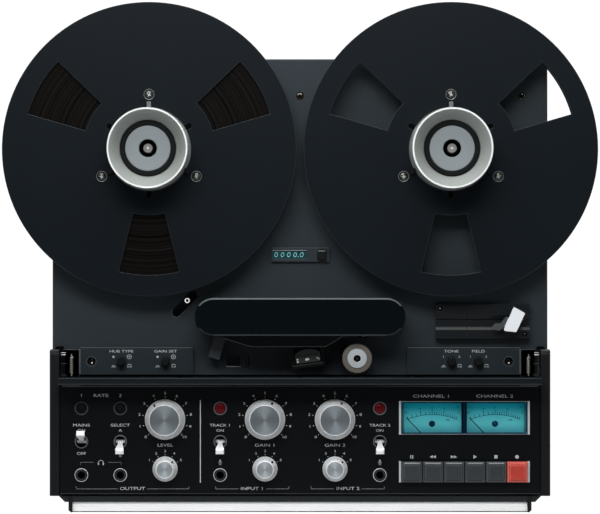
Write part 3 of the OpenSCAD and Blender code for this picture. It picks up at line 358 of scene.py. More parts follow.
finish("key_plastic", (46, 51, 54), 0.42, 0, 1700, 0.18, 0.15, shine=0.2)
# Lighter copies of the key finishes for their bevels and lips: painted highlights along the edges.
finish("key_edge_highlight", (62, 67, 70), 0.35, 0, 1500, 0.15, 0.1, shine=0.35)
finish("record_plastic", (170, 56, 48), 0.42, 0, 1700, 0.10, 0.12, shine=0.25)
finish("record_edge_highlight", (206, 98, 86), 0.35, 0, 1500, 0.1, 0.08, shine=0.35)
finish("lamp_red", (80, 0, 9), 0.25, 0, 800, 0.3, 0.1, shine=0.12)
finish("socket_gold", (196, 164, 92), 0.26, 0.95, 1300, 0.08, 0.05, worn=(225, 205, 150), wear=0.3)
finish("motor_grey", (62, 67, 71), 0.5, 0.4, 1000, 0.2, 0.25)
finish("board_green", (30, 78, 52), 0.45, 0, 700, 0.3, 0.15)
finish("coil_copper", (170, 104, 58), 0.35, 0.8, 1500, 0.3, 0.4)
finish("capacitor_blue", (34, 42, 58), 0.35, 0, 900, 0.1, 0.1)
finish("needle_black", (6, 12, 16), 0.4, 0, 1500, 0.2, 0.05, shine=0.05)
for name, colour in (("print_grey", (172, 177, 180)), ("print_dim", (112, 117, 120))):
    finish(name, colour, 0.6, 0, 2500, 0.25, 0.1, mottle=0.15, shine=0.2)
finish("scale_ink", (0, 14, 24), 0.6, 0, 2500, 0.2, 0.05, shine=0.03)
finish("dot_blue", (3, 48, 70), 0.3, 0, 1500, 0.1, 0.05, shine=0.06)
for name, colour in (("meter_blue", (6, 36, 56)), ("frame_blue", (5, 40, 66))):
    finish(name, colour, 0.5, 0, 1500, 0.2, 0.1, shine=0.05)
# Light grey for thin lines along key lips, the slot and the counter: a painted highlight.
finish("lip_highlight_grey", (138, 143, 146), 0.4, 0, 1500, 0.15, 0.1, shine=0.3)
# Grey for thin edge lines and lower edge faces: a dimmer painted highlight.
finish("dim_edge_highlight", (52, 56, 59), 0.4, 0, 900, 0.3, 0.1, mottle=0.2, shine=0.25)
finish("spring_steel", (182, 180, 174), 0.35, 0.5, 1300, 0.1, 0.05)
# Lighter finish for the reels' bevelled edges: a painted highlight along the flange edges.
finish("reel_edge_highlight", (42, 46, 49), 0.42, 0, 1500, 0.2, 0.08, mottle=0.2, shine=0.3)
for hand, side in (("left", -1), ("right", 1)):
    finish(hand + "_reel_black", (8, 15, 20), 0.46, 0, 1500, 0.25, 0.12, mottle=0.15,
           worn=(96, 100, 102), wear=0.35, dust=0.05, shine=0.1,
           lines=(side * REEL_X, REEL_Z, 900, 0.10))
for name, colour in (("spun_face", (132, 140, 145)), ("spun_small", (168, 176, 181))):
    finish(name, colour, 0.44, 1, 1500, 0.04, 0.2, spread=0.05, lines=(0, 0, 5200, 0.16), spun=0.55)


def lit_scale():
    """Teal meter card, lit from inside, darker towards its top."""
    made = finish("lit_scale", (70, 160, 168), 0.55, 0, 1500, 0.05, 0.03, shine=0.04)
    tree = made.node_tree
    shader = tree.nodes["Principled BSDF"]
    height = put(tree, "SeparateXYZ", i0=object_place(tree)).outputs["Z"]
    part = put(tree, "MapRange", i0=height, i1=METER_LOW * MM, i2=METER_TOP * MM)
    ramp = put(tree, "ValToRGB", i0=part.outputs[0])
    stops = ramp.color_ramp.elements
    stops[0].position, stops[0].color = 0.0, tint(60, 134, 148)
    stops[1].position, stops[1].color = 1.0, tint(0, 136, 158)
    for place, colour in ((0.3, (92, 178, 183)), (0.55, (80, 174, 182)), (0.8, (18, 142, 158))):
        stops.new(place).color = tint(*colour)
    tree.links.new(ramp.outputs[0], shader.inputs["Base Color"])
    tree.links.new(ramp.outputs[0], shader.inputs["Emission Color"])
    shader.inputs["Emission Strength"].default_value = 0.12


def lit_display(name, colour, strength):
    """Display glass that glows evenly, with a fine mesh of grain."""
    made = finish(name, colour, 0.3, 0, 2200, 0.2, 0.05)
    shader = made.node_tree.nodes["Principled BSDF"]
    skin = shader.inputs["Base Color"].links[0].from_socket
    made.node_tree.links.new(skin, shader.inputs["Emission Color"])
    shader.inputs["Emission Strength"].default_value = strength


def window_glass():
    """Clear glass of the meter window."""
    made = finish("window_glass", (235, 246, 247), 0.03, 0, 600, 0.02, 0.01, mottle=0.02,
                  spread=0.02)
    shader = made.node_tree.nodes["Principled BSDF"]
    shader.inputs["Transmission Weight"].default_value = 1.0
    shader.inputs["IOR"].default_value = 1.2


lit_scale()
lit_display("display_teal", (3, 42, 48), 0.45)
lit_display("digit_glow", (120, 180, 182), 0.45)
window_glass()


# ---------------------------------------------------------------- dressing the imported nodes

def dress(names, skin, edge=0.25, rim=None):
    """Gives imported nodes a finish, soft edges of a width in mm and maybe a finish for those."""
    for name in names.split():
        shape = nodes[name]
        shape.data.materials.clear()
        shape.data.materials.append(FINISH[skin])
        for side in shape.data.polygons:
            side.material_index = 0
        closed = shape.modifiers.new("closed_seams", "WELD")
        closed.merge_threshold = 0.000002
        rounded = shape.modifiers.new("soft_edges", "BEVEL")
        rounded.width = edge * MM
        rounded.segments = 2
        rounded.limit_method = "ANGLE"
        rounded.angle_limit = radians(40)
        rounded.harden_normals = True
        if rim:
            shape.data.materials.append(FINISH[rim])
            rounded.material = 1


def retouch(name, skin, test):
    """Gives another finish to the faces of a node whose middle, in mm, passes the test."""
    mesh = nodes[name].data
    mesh.materials.append(FINISH[skin])
    index = len(mesh.materials) - 1
    for side in mesh.polygons:
        x, y, z = (v / MM for v in side.center)
        if test(x, DECK_Y - y, z):
            side.material_index = index


# Nodes, their finish, the width of their soft edges and the lighter finish of those edge faces, a
# painted highlight with some wear.
dress("cabinet", "cabinet_paint", 0.5)
dress("rear_panel", "cabinet_paint", 0.3)
dress("base_housing", "base_plastic", 0.4)
# The chassis is dark so that it reads as shade through the slots in the deck: painted shade.
dress("chassis", "dark_steel", 0.2)
dress("deck_plate", "deck_paint", 0.35, "edge_highlight_and_wear")
dress("control_panel", "panel_paint", 0.25)
dress("side_cheeks", "cheek_plastic", 0.5)
dress("access_flap", "flap_plastic", 0.4, "edge_highlight_and_wear")
dress("foot_rail", "rail_aluminium", 0.25)
dress("feet", "foot_rubber", 0.2)
dress("head_cover", "cover_plastic", 0.2)
dress("head_block", "dark_steel", 0.2)
dress("splicing_block", "splice_anodised", 0.15)
dress("counter_display", "deck_paint", 0.2)
dress("meter_units", "meter_blue", 0.15)
dress("meter_glass", "window_glass", 0.15)
dress("bright_trim", "bright_metal", 0.1)
dress("jack_sockets", "black_plastic", 0.15)
dress("record_lamps", "lamp_red", 0.15)
dress("drive_motors", "motor_grey", 0.6)
dress("electronics", "board_green", 0.2)
dress("panel_controls", "dark_steel", 0.3)
dress("left_spindle right_spindle", "steel", 0.2)
dress("left_reel", "left_reel_black", 0.25, "reel_edge_highlight")
dress("right_reel", "right_reel_black", 0.25, "reel_edge_highlight")
dress("left_adapter right_adapter", "collar_aluminium", 0.25, "collar_rim_highlight")
# The tension arm is black so that it reads as shade through its slot: painted shade.
dress("tension_arm", "matte_black_and_shade", 0.2)
dress("pinch_arm", "matte_black_and_shade", 0.3)
dress("pinch_roller", "roller_hub", 0.2)
dress("capstan", "steel", 0.2)
dress("left_tape_pack", "tape_brown", 0.1)
dress("counter_reset size_button level_button eq_button flux_button", "black_plastic", 0.3)
dress("speed_low_button speed_high_button", "speed_black", 0.2)
dress("tape_slider", "slider_grey", 0.25, "edge_highlight_and_wear")
dress("cutter_lever", "lever_white", 0.25)
dress("power_toggle monitor_toggle left_toggle right_toggle", "toggle_white", 0.3)
dress("volume_knob left_knob right_knob", "knob_aluminium", 0.3)
dress("monitor_selector left_selector right_selector", "knob_aluminium", 0.25)
dress("pause_key rewind_key forward_key play_key stop_key", "key_plastic", 0.5, "key_edge_highlight")
dress("record_key", "record_plastic", 0.5, "record_edge_highlight")
dress("left_needle right_needle", "needle_black", 0.05)


def ring_at(row):
    """A test for the ring nuts of one row of the panel."""
    return lambda x, d, z: abs(z - row) < 8 and min(abs(x - c) for c in CONTROLS) < 8


def wound(x, z):
    """Distance from the nearer reel's axis."""
    return min(from_axis(x, z, side * REEL_X, REEL_Z) for side in (-1, 1))


def behind_lever(x, d, z):
    """The blade guard that lies behind the tilted plate of the cutter's lever."""
    turn, tilt = radians(24.8), radians(10)
    along = (x - 197.4) * sin(turn) + (z - 180) * cos(turn)
    return (13 - d) * cos(tilt) - along * sin(tilt) > 0.3


# Faces with a finish of their own, picked by place across, depth and height.
retouch("deck_plate", "block_paint", lambda x, d, z: d > 0.03 and z < 150)
# A black band on the sill below the deck: painted shade in the gap above the flap.
retouch("deck_plate", "black_and_painted_shade", lambda x, d, z: -1.7 < d < -1.5 and z < 123.5)
retouch("head_cover", "cover_skirt", lambda x, d, z: z < 159.6 and 33 < d < 36.5)
# The cover's front chamfer faces get lighter finishes: painted highlights, brightest along the top,
# dimmer below and round the ends.
for skin, test in (("cover_chamfer_highlight", lambda x, z: z > 192 and abs(x) < COVER_STRAIGHT),
                   ("edge_highlight_and_wear", lambda x, z: z < 162 and abs(x) < COVER_STRAIGHT),
                   ("edge_highlight_and_wear", lambda x, z: z > 187 and abs(x) > COVER_STRAIGHT),
                   ("dim_edge_highlight", lambda x, z: z < 167 and abs(x) > COVER_STRAIGHT)):
    retouch("head_cover", skin, lambda x, d, z, test=test: 36.65 < d < 37.95 and test(x, z))
retouch("head_block", "steel", lambda x, d, z: d > 4.03 and z > 156.5 and -56 < x < 16)
retouch("head_block", "steel", lambda x, d, z: z > 159 and (x < -68 or x > 70))
retouch("head_block", "black_plastic", lambda x, d, z: z < 153 and -12 < x < 26)
# The guide plate is lighter than its own tone: painted light in the cover's shadow.
retouch("head_block", "guide_grey_lightened", lambda x, d, z: z < 158.5 and x < -68)
retouch("splicing_block", "splice_lip", lambda x, d, z: 7.02 < d < 7.98 and 164.5 < z < 166.7)
# The pin's tip is near-white: a painted highlight.
retouch("tension_arm", "edge_and_glint_highlight", lambda x, d, z: d > 23.2 and from_axis(x, z, -102.1, 191.4) < 3)
retouch("counter_display", "display_teal", lambda x, d, z: 1.22 < d < 1.9 and -25.3 < x < 5.9)
retouch("pinch_roller", "roller_rubber", lambda x, d, z: from_axis(x, z, *ROLLER) > 9.03)
# Black in the roller's and arm's centre hole: painted shade.
retouch("pinch_roller", "black_and_painted_shade", lambda x, d, z: from_axis(x, z, *ROLLER) < 3.1)
retouch("pinch_arm", "black_and_painted_shade", lambda x, d, z: from_axis(x, z, *ROLLER) < 3.1)
# A near-white band at each knob's skirt edge: a painted highlight.
for node in ("volume_knob", "left_knob", "right_knob", "monitor_selector", "left_selector",
             "right_selector"):
    retouch(node, "edge_and_glint_highlight", lambda x, d, z: 33.05 < d < 33.6)
retouch("electronics", "motor_grey", lambda x, d, z: x < -100 and not (-176.2 < x < -131.8))
retouch("electronics", "coil_copper", lambda x, d, z: -176.2 < x < -131.8)
retouch("electronics", "capacitor_blue", lambda x, d, z: x > 100)
retouch("cutter_lever", "blade_grey", behind_lever)
# Black on the cheeks' inner faces in the hinge pockets: painted shade.
retouch("side_cheeks", "black_and_painted_shade", lambda x, d, z: abs(x) < 217.6 and z > 123)
# Black on the flap's top face: painted shade in the gap under the deck.
retouch("access_flap", "black_and_painted_shade", lambda x, d, z: z > 122.45)
retouch("jack_sockets", "socket_gold", lambda x, d, z: d < -131 and -140 < x < -70)
retouch("rear_panel", "black_plastic",
        lambda x, d, z: abs(x + 175) < 13.97 and abs(z - 50) < 10.97 and d > -134.05)
# The housing walls beside the cards and at the window's ends take the lit card finish: painted
# light from the cards.
retouch("meter_units", "lit_scale", lambda x, d, z: 19.2 < d < 27.9 and z < 103
        and min(abs(x - m - s * 26.125) for m in METERS for s in (-1, 1)) < 0.05)
retouch("meter_units", "lit_scale",
        lambda x, d, z: d > 27.9 and abs(abs(x - METER_MIDDLE) - 55.35) < 0.75)
retouch("bright_trim", "jack_ring", ring_at(JACK_ROW))
retouch("bright_trim", "toggle_ring", ring_at(TOGGLE_ROW))
retouch("bright_trim", "toggle_ring", ring_at(LAMP_ROW))
retouch("bright_trim", "speed_ring", lambda x, d, z: x < -150 and abs(z - LAMP_ROW) < 8)
for node in ("left_adapter", "right_adapter"):
    # Lugs above the axis are bare steel, those below are black: painted shade on the lower lugs.
    for skin, way in (("lug_steel", 1), ("matte_black_and_shade", -1)):
        retouch(node, skin, lambda x, d, z, way=way: d < LUG_FACE and wound(x, z) > LUG_INNER
                and way * (z - REEL_Z) > 0)
    # The collar's front rim is near-white: a painted highlight.
    retouch(node, "collar_rim_highlight", lambda x, d, z: d > 60.7)


def in_shield(x, d, z):
    """Inside the bright shield that stands tilted in its tray below the head cover."""
    a = radians(SHIELD_TILT)
    across = (x - SHIELD_X) * cos(a) + (z - SHIELD_Z) * sin(a)
    up = (z - SHIELD_Z) * cos(a) - (x - SHIELD_X) * sin(a)
    return d > 5.03 and abs(across) < 11.5 and -5.7 < up < 7.1


retouch("head_block", "shield_chrome", in_shield)
for side, name in ((-1, "left_spindle"), (1, "right_spindle")):
    def out(x, z, side=side):
        return from_axis(x, z, side * REEL_X, REEL_Z)
    # Black in the hub's bore and in the ring round the spindle: painted shade.
    retouch(name, "black_and_painted_shade", lambda x, d, z: 37.8 < d < HUB_FLOOR)
    retouch(name, "disc_aluminium", lambda x, d, z: d > HUB_FLOOR and 7 < out(x, z) < DISC_RIM)
    retouch(name, "grip_rubber", lambda x, d, z: d > HUB_FLOOR and out(x, z) > DISC_RIM)
    retouch(name, "black_and_painted_shade", lambda x, d, z: HUB_FLOOR < d < 45.2 and 6 < out(x, z) < 8.02)


# ---------------------------------------------------------------- shaping new pieces

def bridge(bm, rows, tone=0, closed=False):
    """Faces from each closed row of points to the next, and maybe from the last to the first."""
    for first, second in zip(rows, rows[1:] + rows[:closed]):
        steps = max(len(first), len(second))
        if steps == 1:
            continue
        for i in range(steps):
            j = (i + 1) % steps
            corners = (first[i % len(first)], second[i % len(second)], second[j % len(second)],
                       first[j % len(first)])
            bm.faces.new(tuple(dict.fromkeys(corners))).material_index = tone


def solid(bm, rows, tone=0):
    """A closed body from rows of points: its sides and both ends."""
    bridge(bm, rows, tone)
    for end in (rows[0][::-1], rows[-1]):
        bm.faces.new(end).material_index = tone


def turned(bm, x, z, profile, steps=64, tone=0, closed=False):
    """Turns a profile of (radius, depth) points about an axis that points forward."""
    rows = []
    for radius, depth in profile:
        spots = round_outline(x, z, radius, steps) if radius else [(x, z)]
        rows.append([bm.verts.new(at(px, depth, pz)) for px, pz in spots])
    bridge(bm, rows, tone, closed)


def inset(outline, amount):
    """The same outline, drawn counter-clockwise, moved inward by amount."""
    moved = []
    count = len(outline)
    for i, (x, z) in enumerate(outline):
        ax, az = outline[i - 1]
        bx, bz = outline[(i + 1) % count]
        first = Vector((x - ax, z - az)).normalized()
        second = Vector((bx - x, bz - z)).normalized()
        lean = Vector((-first.y - second.y, first.x + second.x))
        if lean.length < 1e-9:
            lean = Vector((-first.y, first.x))
        lean.normalize()
        reach = amount / max(0.3, lean.dot(Vector((-first.y, first.x))))
        moved.append((x + lean.x * reach, z + lean.y * reach))
    return moved


def slab(bm, outline, back, face, edge=0.0, tone=0):
    """A plate with the given outline in X and Z, its front edge broken by a small chamfer."""
    layers = [(outline, back), (outline, face - edge)]
    if edge:
        layers.append((inset(outline, edge), face))
    solid(bm, [[bm.verts.new(at(x, d, z)) for x, z in shape] for shape, d in layers], tone)


def round_outline(x, z, radius, steps=32):
    """A circle, drawn counter-clockwise."""
    return [polar(x, z, radius, 360 * i / steps) for i in range(steps)]


def box_outline(x0, z0, x1, z1, corner=0.0, steps=5):
    """A rectangle, its corners rounded where asked, drawn counter-clockwise."""
    if not corner:
        return [(x0, z0), (x1, z0), (x1, z1), (x0, z1)]
    drawn = []
    for cx, cz, begin in ((x1 - corner, z0 + corner, -90), (x1 - corner, z1 - corner, 0),
                          (x0 + corner, z1 - corner, 90), (x0 + corner, z0 + corner, 180)):
        drawn += [polar(cx, cz, corner, begin + 90 * i / steps) for i in range(steps + 1)]
    return drawn


def piece(name, bm, body, slot, *skins, crease=35, origin=None):
    """Closes a shape, gives it its finish and lets it ride on a body."""
    bmesh.ops.recalc_face_normals(bm, faces=bm.faces[:])
    for side in bm.faces:
        side.smooth = True
    if origin:
        bmesh.ops.translate(bm, verts=bm.verts[:], vec=-at(*origin))
    mesh = bpy.data.meshes.new(name)
    bm.to_mesh(mesh)
    bm.free()
    for skin in skins:
        mesh.materials.append(FINISH[skin])
    mesh.set_sharp_from_angle(angle=radians(crease))
    made = link(name, mesh)
    if origin:
        made.location = at(*origin)
    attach(made, body)
    return made


def cross_screw(bm, x, z, seat, radius, height, turn=0.0):
    """A low domed screw head with a cross recess, sitting at depth seat."""
    rings, steps = 9, 48
    reach, half = radius * 0.62, radius * 0.15

    def in_cross(r, degrees, reach):
        a = radians(degrees) - turn
        return r < reach and min(abs(r * cos(a)), abs(r * sin(a))) < half

    rows = []
    for ring in range(rings + 1):
        r = radius * ring / rings
        dome = seat + height * (1 - 0.55 * (r / radius) ** 3)
        row = []
        for i in range(steps if ring else 1):
            a = 360 * i / steps
            px, pz = polar(x, z, r, a)
            sunk = 0.45 * height + 0.35 if in_cross(r, a, reach) else 0
            row.append(bm.verts.new(at(px, dome - sunk, pz)))
        rows.append(row)
    rows.append([bm.verts.new(at(px, seat, pz)) for px, pz in round_outline(x, z, radius, steps)])
    for index, pair in enumerate(zip(rows, rows[1:])):
        done = len(bm.faces)
        bridge(bm, list(pair))
        bm.faces.ensure_lookup_table()
        for i in range(steps):
            # Faces of the cross recess take the second finish; callers give it black as painted
            # shade or bright metal as a painted glint.
            dark = in_cross(radius * (index + 0.5) / rings, 360 * (i + 0.5) / steps, reach * 0.95)
            bm.faces[done + i].material_index = 1 if dark else 0
    bm.faces.new(rows[-1][::-1])


class Print:
    """Fine print that lies on a face at a given depth."""

    def __init__(self, face, lift=0.05):
        self.bm = bmesh.new()
        self.face, self.lift = face, lift

    def shape(self, outline):
        """A filled outline."""
        slab(self.bm, outline, self.face - 0.01, self.face + self.lift)

    def bar(self, x0, z0, x1, z1, width):
        """A straight stroke."""
        along = Vector((x1 - x0, z1 - z0)).normalized()
        side = Vector((-along.y, along.x)) * width / 2
        self.shape([(x0 - side.x, z0 - side.y), (x1 - side.x, z1 - side.y),
                    (x1 + side.x, z1 + side.y), (x0 + side.x, z0 + side.y)])

    def dot(self, x, z, radius, steps=16):
        self.shape(round_outline(x, z, radius, steps))

    def arc(self, x, z, radius, begin, end, width, steps=24, squeeze=1.0, slant=0.0):
        """A curved stroke from angle begin to end, in degrees counter-clockwise from +X."""
        rows = []
        for i in range(steps + 1):
            spots = [polar(0, 0, r, begin + (end - begin) * i / steps)
                     for r in (radius - width / 2, radius + width / 2)]
            rows.append([(x + across * squeeze + up * slant, z + up) for across, up in spots])
        for low, high in zip(rows, rows[1:]):
            self.shape([low[0], low[1], high[1], high[0]])

    def word(self, text, x, z, size, wide=1.35):
        """Plain wide letters or numerals, their middle at height z."""
        drawn = bpy.data.curves.new("lettering", "FONT")
        drawn.body, drawn.size = text, size * MM
        drawn.align_x = drawn.align_y = "CENTER"
        drawn.resolution_u = 3
        drawn.extrude = self.lift * MM / 2
        holder = link("lettering", drawn)
        bpy.context.view_layer.update()
        mesh = bpy.data.meshes.new_from_object(
            holder.evaluated_get(bpy.context.evaluated_depsgraph_get()))
        place = at(x, self.face + self.lift / 2, z)
        for point in mesh.vertices:
            flat = point.co.copy()
            point.co = place + Vector((flat.x * wide, -flat.z, flat.y))
        self.bm.from_mesh(mesh)
        bpy.data.objects.remove(holder)
        bpy.data.curves.remove(drawn)
        bpy.data.meshes.remove(mesh)

    def lay(self, name, body, slot, skin):
        """Makes the print a piece that rides on a body."""
        piece(name, self.bm, body, slot, skin)


def lined(face, *lines):
    """Print on a face that begins with straight lines, each (x, z, x, z, width)."""
    ink = Print(face)
    for line in lines:
        ink.bar(*line)
    return ink


def mirrored(x0, z0, x1, z1, width):
    """The same line on the right and on the left."""
    return [(side * x0, z0, side * x1, z1, width) for side in (-1, 1)]


# ---------------------------------------------------------------- camera, stage and light

def set_stage():
    """The photograph's viewpoint, and a white table that glows for the camera."""
    eye = bpy.data.cameras.new("photo_eye")
    eye.sensor_width = 36.0
    eye.lens = 183.95
    eye.clip_end = 50.0
    holder = link("photo_eye", eye)
    holder.location = (0, -2.8425, 0.2308)
    holder.rotation_euler = (radians(90), 0, 0)
    scene.camera = holder

    table = bmesh.new()
    bmesh.ops.create_grid(table, x_segments=4, y_segments=4, size=6.0)
    mesh = bpy.data.meshes.new("table_top")
    table.to_mesh(mesh)
    table.free()
    floor = link("table_top", mesh)
    white = bpy.data.materials.new("table_white")
    white.use_nodes = True
    tree = white.node_tree
    shader = tree.nodes["Principled BSDF"]
    shader.inputs["Base Color"].default_value = (0.5, 0.5, 0.5, 1)
    shader.inputs["Roughness"].default_value = 0.9
    shader.inputs["Specular IOR Level"].default_value = 0.1
    ray = put(tree, "LightPath")
    glossy = ray.outputs["Is Glossy Ray"]
    seen = sums(tree, "MAXIMUM", ray.outputs["Is Camera Ray"], ray.outputs["Is Transmission Ray"])
    share = sums(tree, "MAXIMUM", sums(tree, "MULTIPLY", seen, 0.85), glossy)
    ahead = put(tree, "SeparateXYZ", i0=object_place(tree)).outputs["Y"]
    near = put(tree, "MapRange", i0=ahead, i1=-1.1, i2=-0.2, i3=0.1, i4=0.9).outputs[0]
    level = sums(tree, "MULTIPLY_ADD", sums(tree, "SUBTRACT", near, 1.16), glossy, 1.16)
    plain = put(tree, "Emission", Color=(1, 1, 1, 1), Strength=level)
    mixed = put(tree, "MixShader", i0=share, i1=shader.outputs[0], i2=plain.outputs[0])
    tree.links.new(mixed.outputs[0], tree.nodes["Material Output"].inputs["Surface"])
    mesh.materials.append(white)


def set_light():
    """A plain bright room and five soft boxes."""
    room = bpy.data.worlds.new("plain_room")
    scene.world = room
    room.use_nodes = True
    tree = room.node_tree
    tree.nodes.clear()
    ray = put(tree, "LightPath")
    way = put(tree, "SeparateXYZ", i0=put(tree, "TexCoord").outputs["Generated"])
    behind = put(tree, "MapRange", i0=way.outputs["Y"], i1=0.0, i2=0.5, i3=0.05, i4=1.0)
    shown = sums(tree, "MAXIMUM", ray.outputs["Is Camera Ray"], ray.outputs["Is Transmission Ray"])
    shown = sums(tree, "MULTIPLY", shown, 1.05)
    glossy = sums(tree, "MULTIPLY", ray.outputs["Is Glossy Ray"], behind.outputs[0])
    level = sums(tree, "MAXIMUM", sums(tree, "MAXIMUM", shown, glossy),
                 sums(tree, "MULTIPLY", sums(tree, "SUBTRACT", 1.0, ray.outputs["Is Glossy Ray"]),
                      0.1))
    sky = put(tree, "Background", Color=(1, 1, 1, 1), Strength=level)
    end = put(tree, "OutputWorld")
    tree.links.new(sky.outputs[0], end.inputs["Surface"])

    def soft_box(name, place, aim, width, height, watts):
        lamp = bpy.data.lights.new(name, "AREA")
        lamp.shape, lamp.size, lamp.size_y, lamp.energy = "RECTANGLE", width, height, watts
        holder = link(name, lamp)
        holder.location = place
        look = Vector(aim) - Vector(place)
        holder.rotation_euler = look.to_track_quat("-Z", "Y").to_euler()

    soft_box("key_box", (-0.15, -1.2, 1.06), (0, -0.06, 0.3), 1.1, 0.45, 17.0)
    soft_box("overhead_box", (0.0, -0.35, 1.0), (0, -0.1, 0.3), 1.1, 0.3, 6.5)
    soft_box("left_box", (-2.1, -1.9, 0.9), (0, 0, 0.2), 0.9, 1.4, 6.5)
    soft_box("back_box", (0.4, 1.9, 1.3), (0, 0.1, 0.2), 1.4, 0.9, 9)
    soft_box("right_box", (2.1, -1.9, 0.9), (0, 0, 0.2), 0.9, 1.4, 5.7)


set_stage()
set_light()


# ---------------------------------------------------------------- reels, collars and tape

def reel_screws(name, body, x):
    """Three cross-head screws in cup washers that hold a reel's flanges."""
    bm = bmesh.new()
    # A black ring inside each cup washer is painted shade; the cross recess takes bright metal, a
    # painted glint.
    for spread in (90, 210, 330):
        sx, sz = polar(x, REEL_Z, 49.5, spread)
        turned(bm, sx, sz, [(4.25, REEL_FACE - 0.2), (5.0, REEL_FACE - 0.2), (5.0, REEL_FACE + 0.3),
                            (4.7, REEL_FACE + 0.6), (4.25, REEL_FACE + 0.5)], 40, 2, closed=True)
        turned(bm, sx, sz, [(3.2, REEL_FACE - 0.2), (4.25, REEL_FACE - 0.2),
                            (4.25, REEL_FACE + 0.15), (3.2, REEL_FACE + 0.1)], 40, 3, closed=True)
        cross_screw(bm, sx, sz, REEL_FACE, 3.3, 1.2, radians(spread) * 1.7)
    piece(name, bm, body, "bright_metal", "screw_dark", "bright_metal", "toggle_ring", "black_and_painted_shade")


def reel_notches(name, body, x):
    """A black floor in the three notches that let the collar's lugs through: painted shade."""
    bm = bmesh.new()
    for spread in (30, 150, 270):
        a = radians(spread)
        drawn = [(38.3, -2.5)] + [(41.8 + 2.5 * cos(t), 2.5 * sin(t)) for t in
                                  (pi * (i / 10 - 0.5) for i in range(11))] + [(38.3, 2.5)]
        slab(bm, [(x + r * cos(a) - v * sin(a), REEL_Z + r * sin(a) + v * cos(a))
                  for r, v in drawn], REEL_FACE - 1.15, REEL_FACE - 0.7)
    piece(name, bm, body, "reel_black", "black_and_painted_shade")


def tape_winding():
    """The wound tape: layers that stand a little proud or back of each other."""
    drawn = random.Random(7)
    front, back = [], []
    radius = 57.25
    while radius < 121.6:
        step = drawn.uniform(0.5, 1.5)
        outer = min(radius + step, 122.0)
        front_d = TAPE_MID + TAPE_HALF - drawn.uniform(0.0, 0.35)
        back_d = TAPE_MID - TAPE_HALF + drawn.uniform(0.0, 0.35)
        front += [(radius, front_d), (outer - 0.05, front_d)]
        back += [(radius, back_d), (outer - 0.05, back_d)]
        radius = outer
    bm = bmesh.new()
    turned(bm, -REEL_X, REEL_Z, front + back[::-1], 160, closed=True)
    made = piece("left_tape_winding", bm, "left_reel_set", "tape_brown", "tape_brown", crease=20)
    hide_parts("left_tape_pack")


def spindle_tip(name, body, x):
    """Stepped nickel tip of a spindle, its bright centre and the dark washer round it."""
    bm = bmesh.new()
    turned(bm, x, REEL_Z, [(1.5, 43.6), (4.1, 43.6), (4.1, 44.4), (3.7, 44.8), (3.0, 44.8),
                           (2.8, 44.3), (2.3, 44.3), (2.1, 44.7), (1.5, 44.7)], 40, closed=True)
    turned(bm, x, REEL_Z, [(0, 43.6), (1.3, 43.6), (1.3, 44.6), (0.8, 44.95), (0, 45.0)], 32, 2)
    turned(bm, x, REEL_Z, [(4.5, 38.1), (7.6, 38.1), (7.6, 38.6), (5.0, 39.4), (4.5, 39.4)], 32, 1,
           closed=True)
    piece(name, bm, body, "spindle_metal", "spindle_nickel", "black_and_painted_shade", "bright_metal")


def collar_knurl(name, body, x):
    """Fine grip ribs round the rim of a hub collar."""
    bm = bmesh.new()
    teeth = 150
    rows = []
    for depth, low, high in ((56.8, 35.8, 35.8), (57.1, 36.15, 36.42), (60.2, 36.15, 36.42),
                             (60.5, 35.8, 35.8)):
        spots = [polar(x, REEL_Z, high if i % 2 else low, 180 * i / teeth)
                 for i in range(2 * teeth)]
        rows.append([bm.verts.new(at(px, depth, pz)) for px, pz in spots])
    bridge(bm, rows, closed=True)
    piece(name, bm, body, "collar_aluminium", "collar_aluminium")


for side, hand in ((-1, "left"), (1, "right")):
    reel_screws(hand + "_reel_screws", hand + "_reel_set", side * REEL_X)
    reel_notches(hand + "_reel_notches", hand + "_reel_set", side * REEL_X)
    spindle_tip(hand + "_spindle_tip", hand + "_reel_set", side * REEL_X)
    collar_knurl(hand + "_collar_knurl", hand + "_collar", side * REEL_X)
tape_winding()


# ---------------------------------------------------------------- knobs

def knob_dress(name, x, z, rim, height, face_r, pointer_r, angle, dot, spun):
    """Spun face disc and black pointer dot of a knob; angle is clockwise from the top."""
    top = PANEL + height
    bm = bmesh.new()
    turned(bm, x, z, [(face_r, top - 0.8), (0, top - 0.8), (0, top + 0.04),
                      (face_r, top + 0.05)])
    # A near-white ring round the face disc: a painted highlight on its edge.
    turned(bm, x, z, [(face_r, top - 0.8), (face_r + 0.35, top - 0.8), (face_r + 0.35, top + 0.12),
                      (face_r + 0.05, top + 0.2), (face_r, top + 0.05)], tone=1)
    bmesh.ops.remove_doubles(bm, verts=bm.verts[:], dist=1e-7)
    piece(name + "_face", bm, name, "knob_aluminium", spun, "edge_and_glint_highlight", origin=(x, top, z))
    a = radians(90 - angle)
    foot, head = (rim - 0.4, PANEL + 2.6), (rim * 0.768, top - 1.2)
    share = (foot[0] - pointer_r) / (foot[0] - head[0])
    depth = foot[1] + share * (head[1] - foot[1])
    slope = Vector((head[0] - foot[0], head[1] - foot[1])).normalized()
    out = Vector((slope.y, -slope.x))
    bm = bmesh.new()
    rows = []
    for grow, lift in ((1.0, -0.4), (1.0, 0.1), (0.8, 0.2)):
        row = []
        for i in range(20):
            t = 2 * pi * i / 20
            along, side = dot * grow * cos(t) * 3.4, dot * grow * sin(t)
            r = pointer_r + slope.x * along + out.x * lift
            d = depth + slope.y * along + out.y * lift
            row.append(bm.verts.new(at(x + r * cos(a) - side * sin(a), d,
                                       z + r * sin(a) + side * cos(a))))
        rows.append(row)
    solid(bm, rows)
    piece(name + "_dot", bm, name, "button_black", "black_and_painted_shade")


